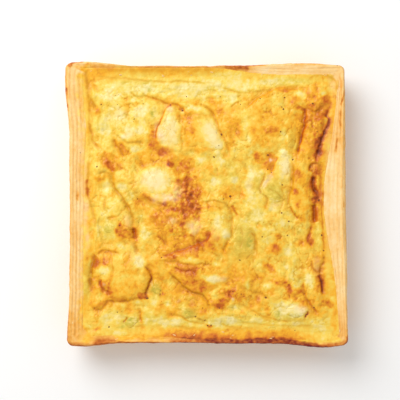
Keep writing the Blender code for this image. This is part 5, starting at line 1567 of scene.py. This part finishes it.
class QUICHE_OT_crumbs(bpy.types.Operator):
    """Lay crumbs and small flakes on the pastry's rim"""

    bl_idname = "quiche.crumbs"
    bl_label = "Crumbs"

    def execute(self, context):
        own = context.scene.quiche_topping
        chance = np.random.default_rng(own.seed + 1)
        lumps = []
        for _ in range(own.crumb_count):
            place, side = chance.uniform(-CRUMB_REACH, CRUMB_REACH), chance.integers(0, 4)
            off = chance.uniform(*CRUMB_BAND)
            x, y = ((-off, place), (off, place), (place, -off), (place, off))[side]
            long, thin = chance.uniform(0.5, 1.5), chance.uniform(0.25, 0.6)
            turn = math.pi / 2 + chance.normal(0, 0.25) if side < 2 else chance.normal(0, 0.25)
            lumps.append(((x, y, surface_height(x, y) + 0.05), (long, thin, 0.22), turn))
        made = lumps_mesh("pastry_crumbs", lumps, own.seed + 1)
        tone = tuple(context.scene.quiche_pastry.light)
        look = simple_material("pastry_crumb", tone, roughness=0.6, spread=0.8)
        finish_piece(made, look, "baked_pastry")
        return {"FINISHED"}


# The stage, in metres

CAMERA_BESIDE = (-0.0054, 0.0032)
FLOOR_HALF = 2.0
FLOOR_DROP = 0.0001
KEY_PLACE = (-0.48, 0.60, 0.95)
KEY_SIZE = 0.85
KEY_AIM = (0, 0, 0.03)


def soft_light(name, place, power, size, aim):
    light = bpy.data.lights.new(name, "AREA")
    light.shape, light.size, light.energy = "DISK", size, power
    made = linked(name, light)
    made.location = place
    made.rotation_euler = (Vector(aim) - Vector(place)).to_track_quat("-Z", "Y").to_euler()


class QUICHE_OT_stage(bpy.types.Operator):
    """Set the camera, the floor and the light"""

    bl_idname = "quiche.stage"
    bl_label = "Stage"

    def execute(self, context):
        scene, own = context.scene, context.scene.quiche_stage
        scene.view_settings.view_transform = "Standard"
        camera = bpy.data.cameras.new("camera")
        camera.lens = camera.sensor_width * own.camera_height / own.view_width
        scene.camera = linked("camera", camera)
        scene.camera.location = (*CAMERA_BESIDE, RIM_HEIGHT * MM + own.camera_height)
        plane = bpy.data.meshes.new("floor")
        corners = [(a * FLOOR_HALF, b * FLOOR_HALF, 0) for a, b in ((-1, -1), (1, -1), (1, 1), (-1, 1))]
        plane.from_pydata(corners, [], [(0, 1, 2, 3)])
        floor = linked("floor", plane)
        floor.location.z = -FLOOR_DROP
        look, _, surface = new_material("floor")
        surface.inputs["Base Color"].default_value = four(own.floor)
        surface.inputs["Roughness"].default_value = 0.6
        plane.materials.append(look)
        world = bpy.data.worlds.new("even_light")
        world.use_nodes = True
        sky = world.node_tree.nodes["Background"]
        sky.inputs["Color"].default_value = WHITE
        sky.inputs["Strength"].default_value = own.sky
        scene.world = world
        soft_light("key", KEY_PLACE, own.key_power, KEY_SIZE, KEY_AIM)
        return {"FINISHED"}


class QUICHE_PT_panel(bpy.types.Panel):
    """Quiche tools in the sidebar"""

    bl_idname = "QUICHE_PT_panel"
    bl_label = "Leek and brie quiche"
    bl_space_type = "VIEW_3D"
    bl_region_type = "UI"
    bl_category = "Quiche"

    def draw(self, context):
        for title, group, operators in PANEL_ROWS:
            box = self.layout.box()
            box.label(text=title)
            for name in group.__annotations__:
                box.prop(getattr(context.scene, SCENE_PROPERTIES[group]), name)
            for operator in operators:
                box.operator(operator.bl_idname)


SCENE_PROPERTIES = {
    QuichePastrySettings: "quiche_pastry",
    QuicheFillingSettings: "quiche_filling",
    QuicheToppingSettings: "quiche_topping",
    QuicheStageSettings: "quiche_stage",
}
PANEL_ROWS = (
    ("Pastry", QuichePastrySettings, (QUICHE_OT_pastry_case,)),
    ("Filling", QuicheFillingSettings, (QUICHE_OT_egg_filling,)),
    ("In and on it", QuicheToppingSettings,
     (QUICHE_OT_brie, QUICHE_OT_leek, QUICHE_OT_pepper, QUICHE_OT_crumbs)),
    ("Stage", QuicheStageSettings, (QUICHE_OT_stage,)),
)
OPERATORS = tuple(operator for _, _, operators in PANEL_ROWS for operator in operators)


def register():
    for group, name in SCENE_PROPERTIES.items():
        bpy.utils.register_class(group)
        setattr(bpy.types.Scene, name, bpy.props.PointerProperty(type=group))
    for kind in (*OPERATORS, QUICHE_PT_panel):
        bpy.utils.register_class(kind)


def unregister():
    for kind in (QUICHE_PT_panel, *reversed(OPERATORS)):
        bpy.utils.unregister_class(kind)
    for group, name in SCENE_PROPERTIES.items():
        delattr(bpy.types.Scene, name)
        bpy.utils.unregister_class(group)


def main():
    register()
    bpy.ops.quiche.pastry_case()
    bpy.ops.quiche.egg_filling()
    bpy.ops.quiche.brie()
    bpy.ops.quiche.leek()
    bpy.ops.quiche.pepper()
    bpy.ops.quiche.crumbs()
    bpy.ops.quiche.stage()


if __name__ == "__main__":
    main()
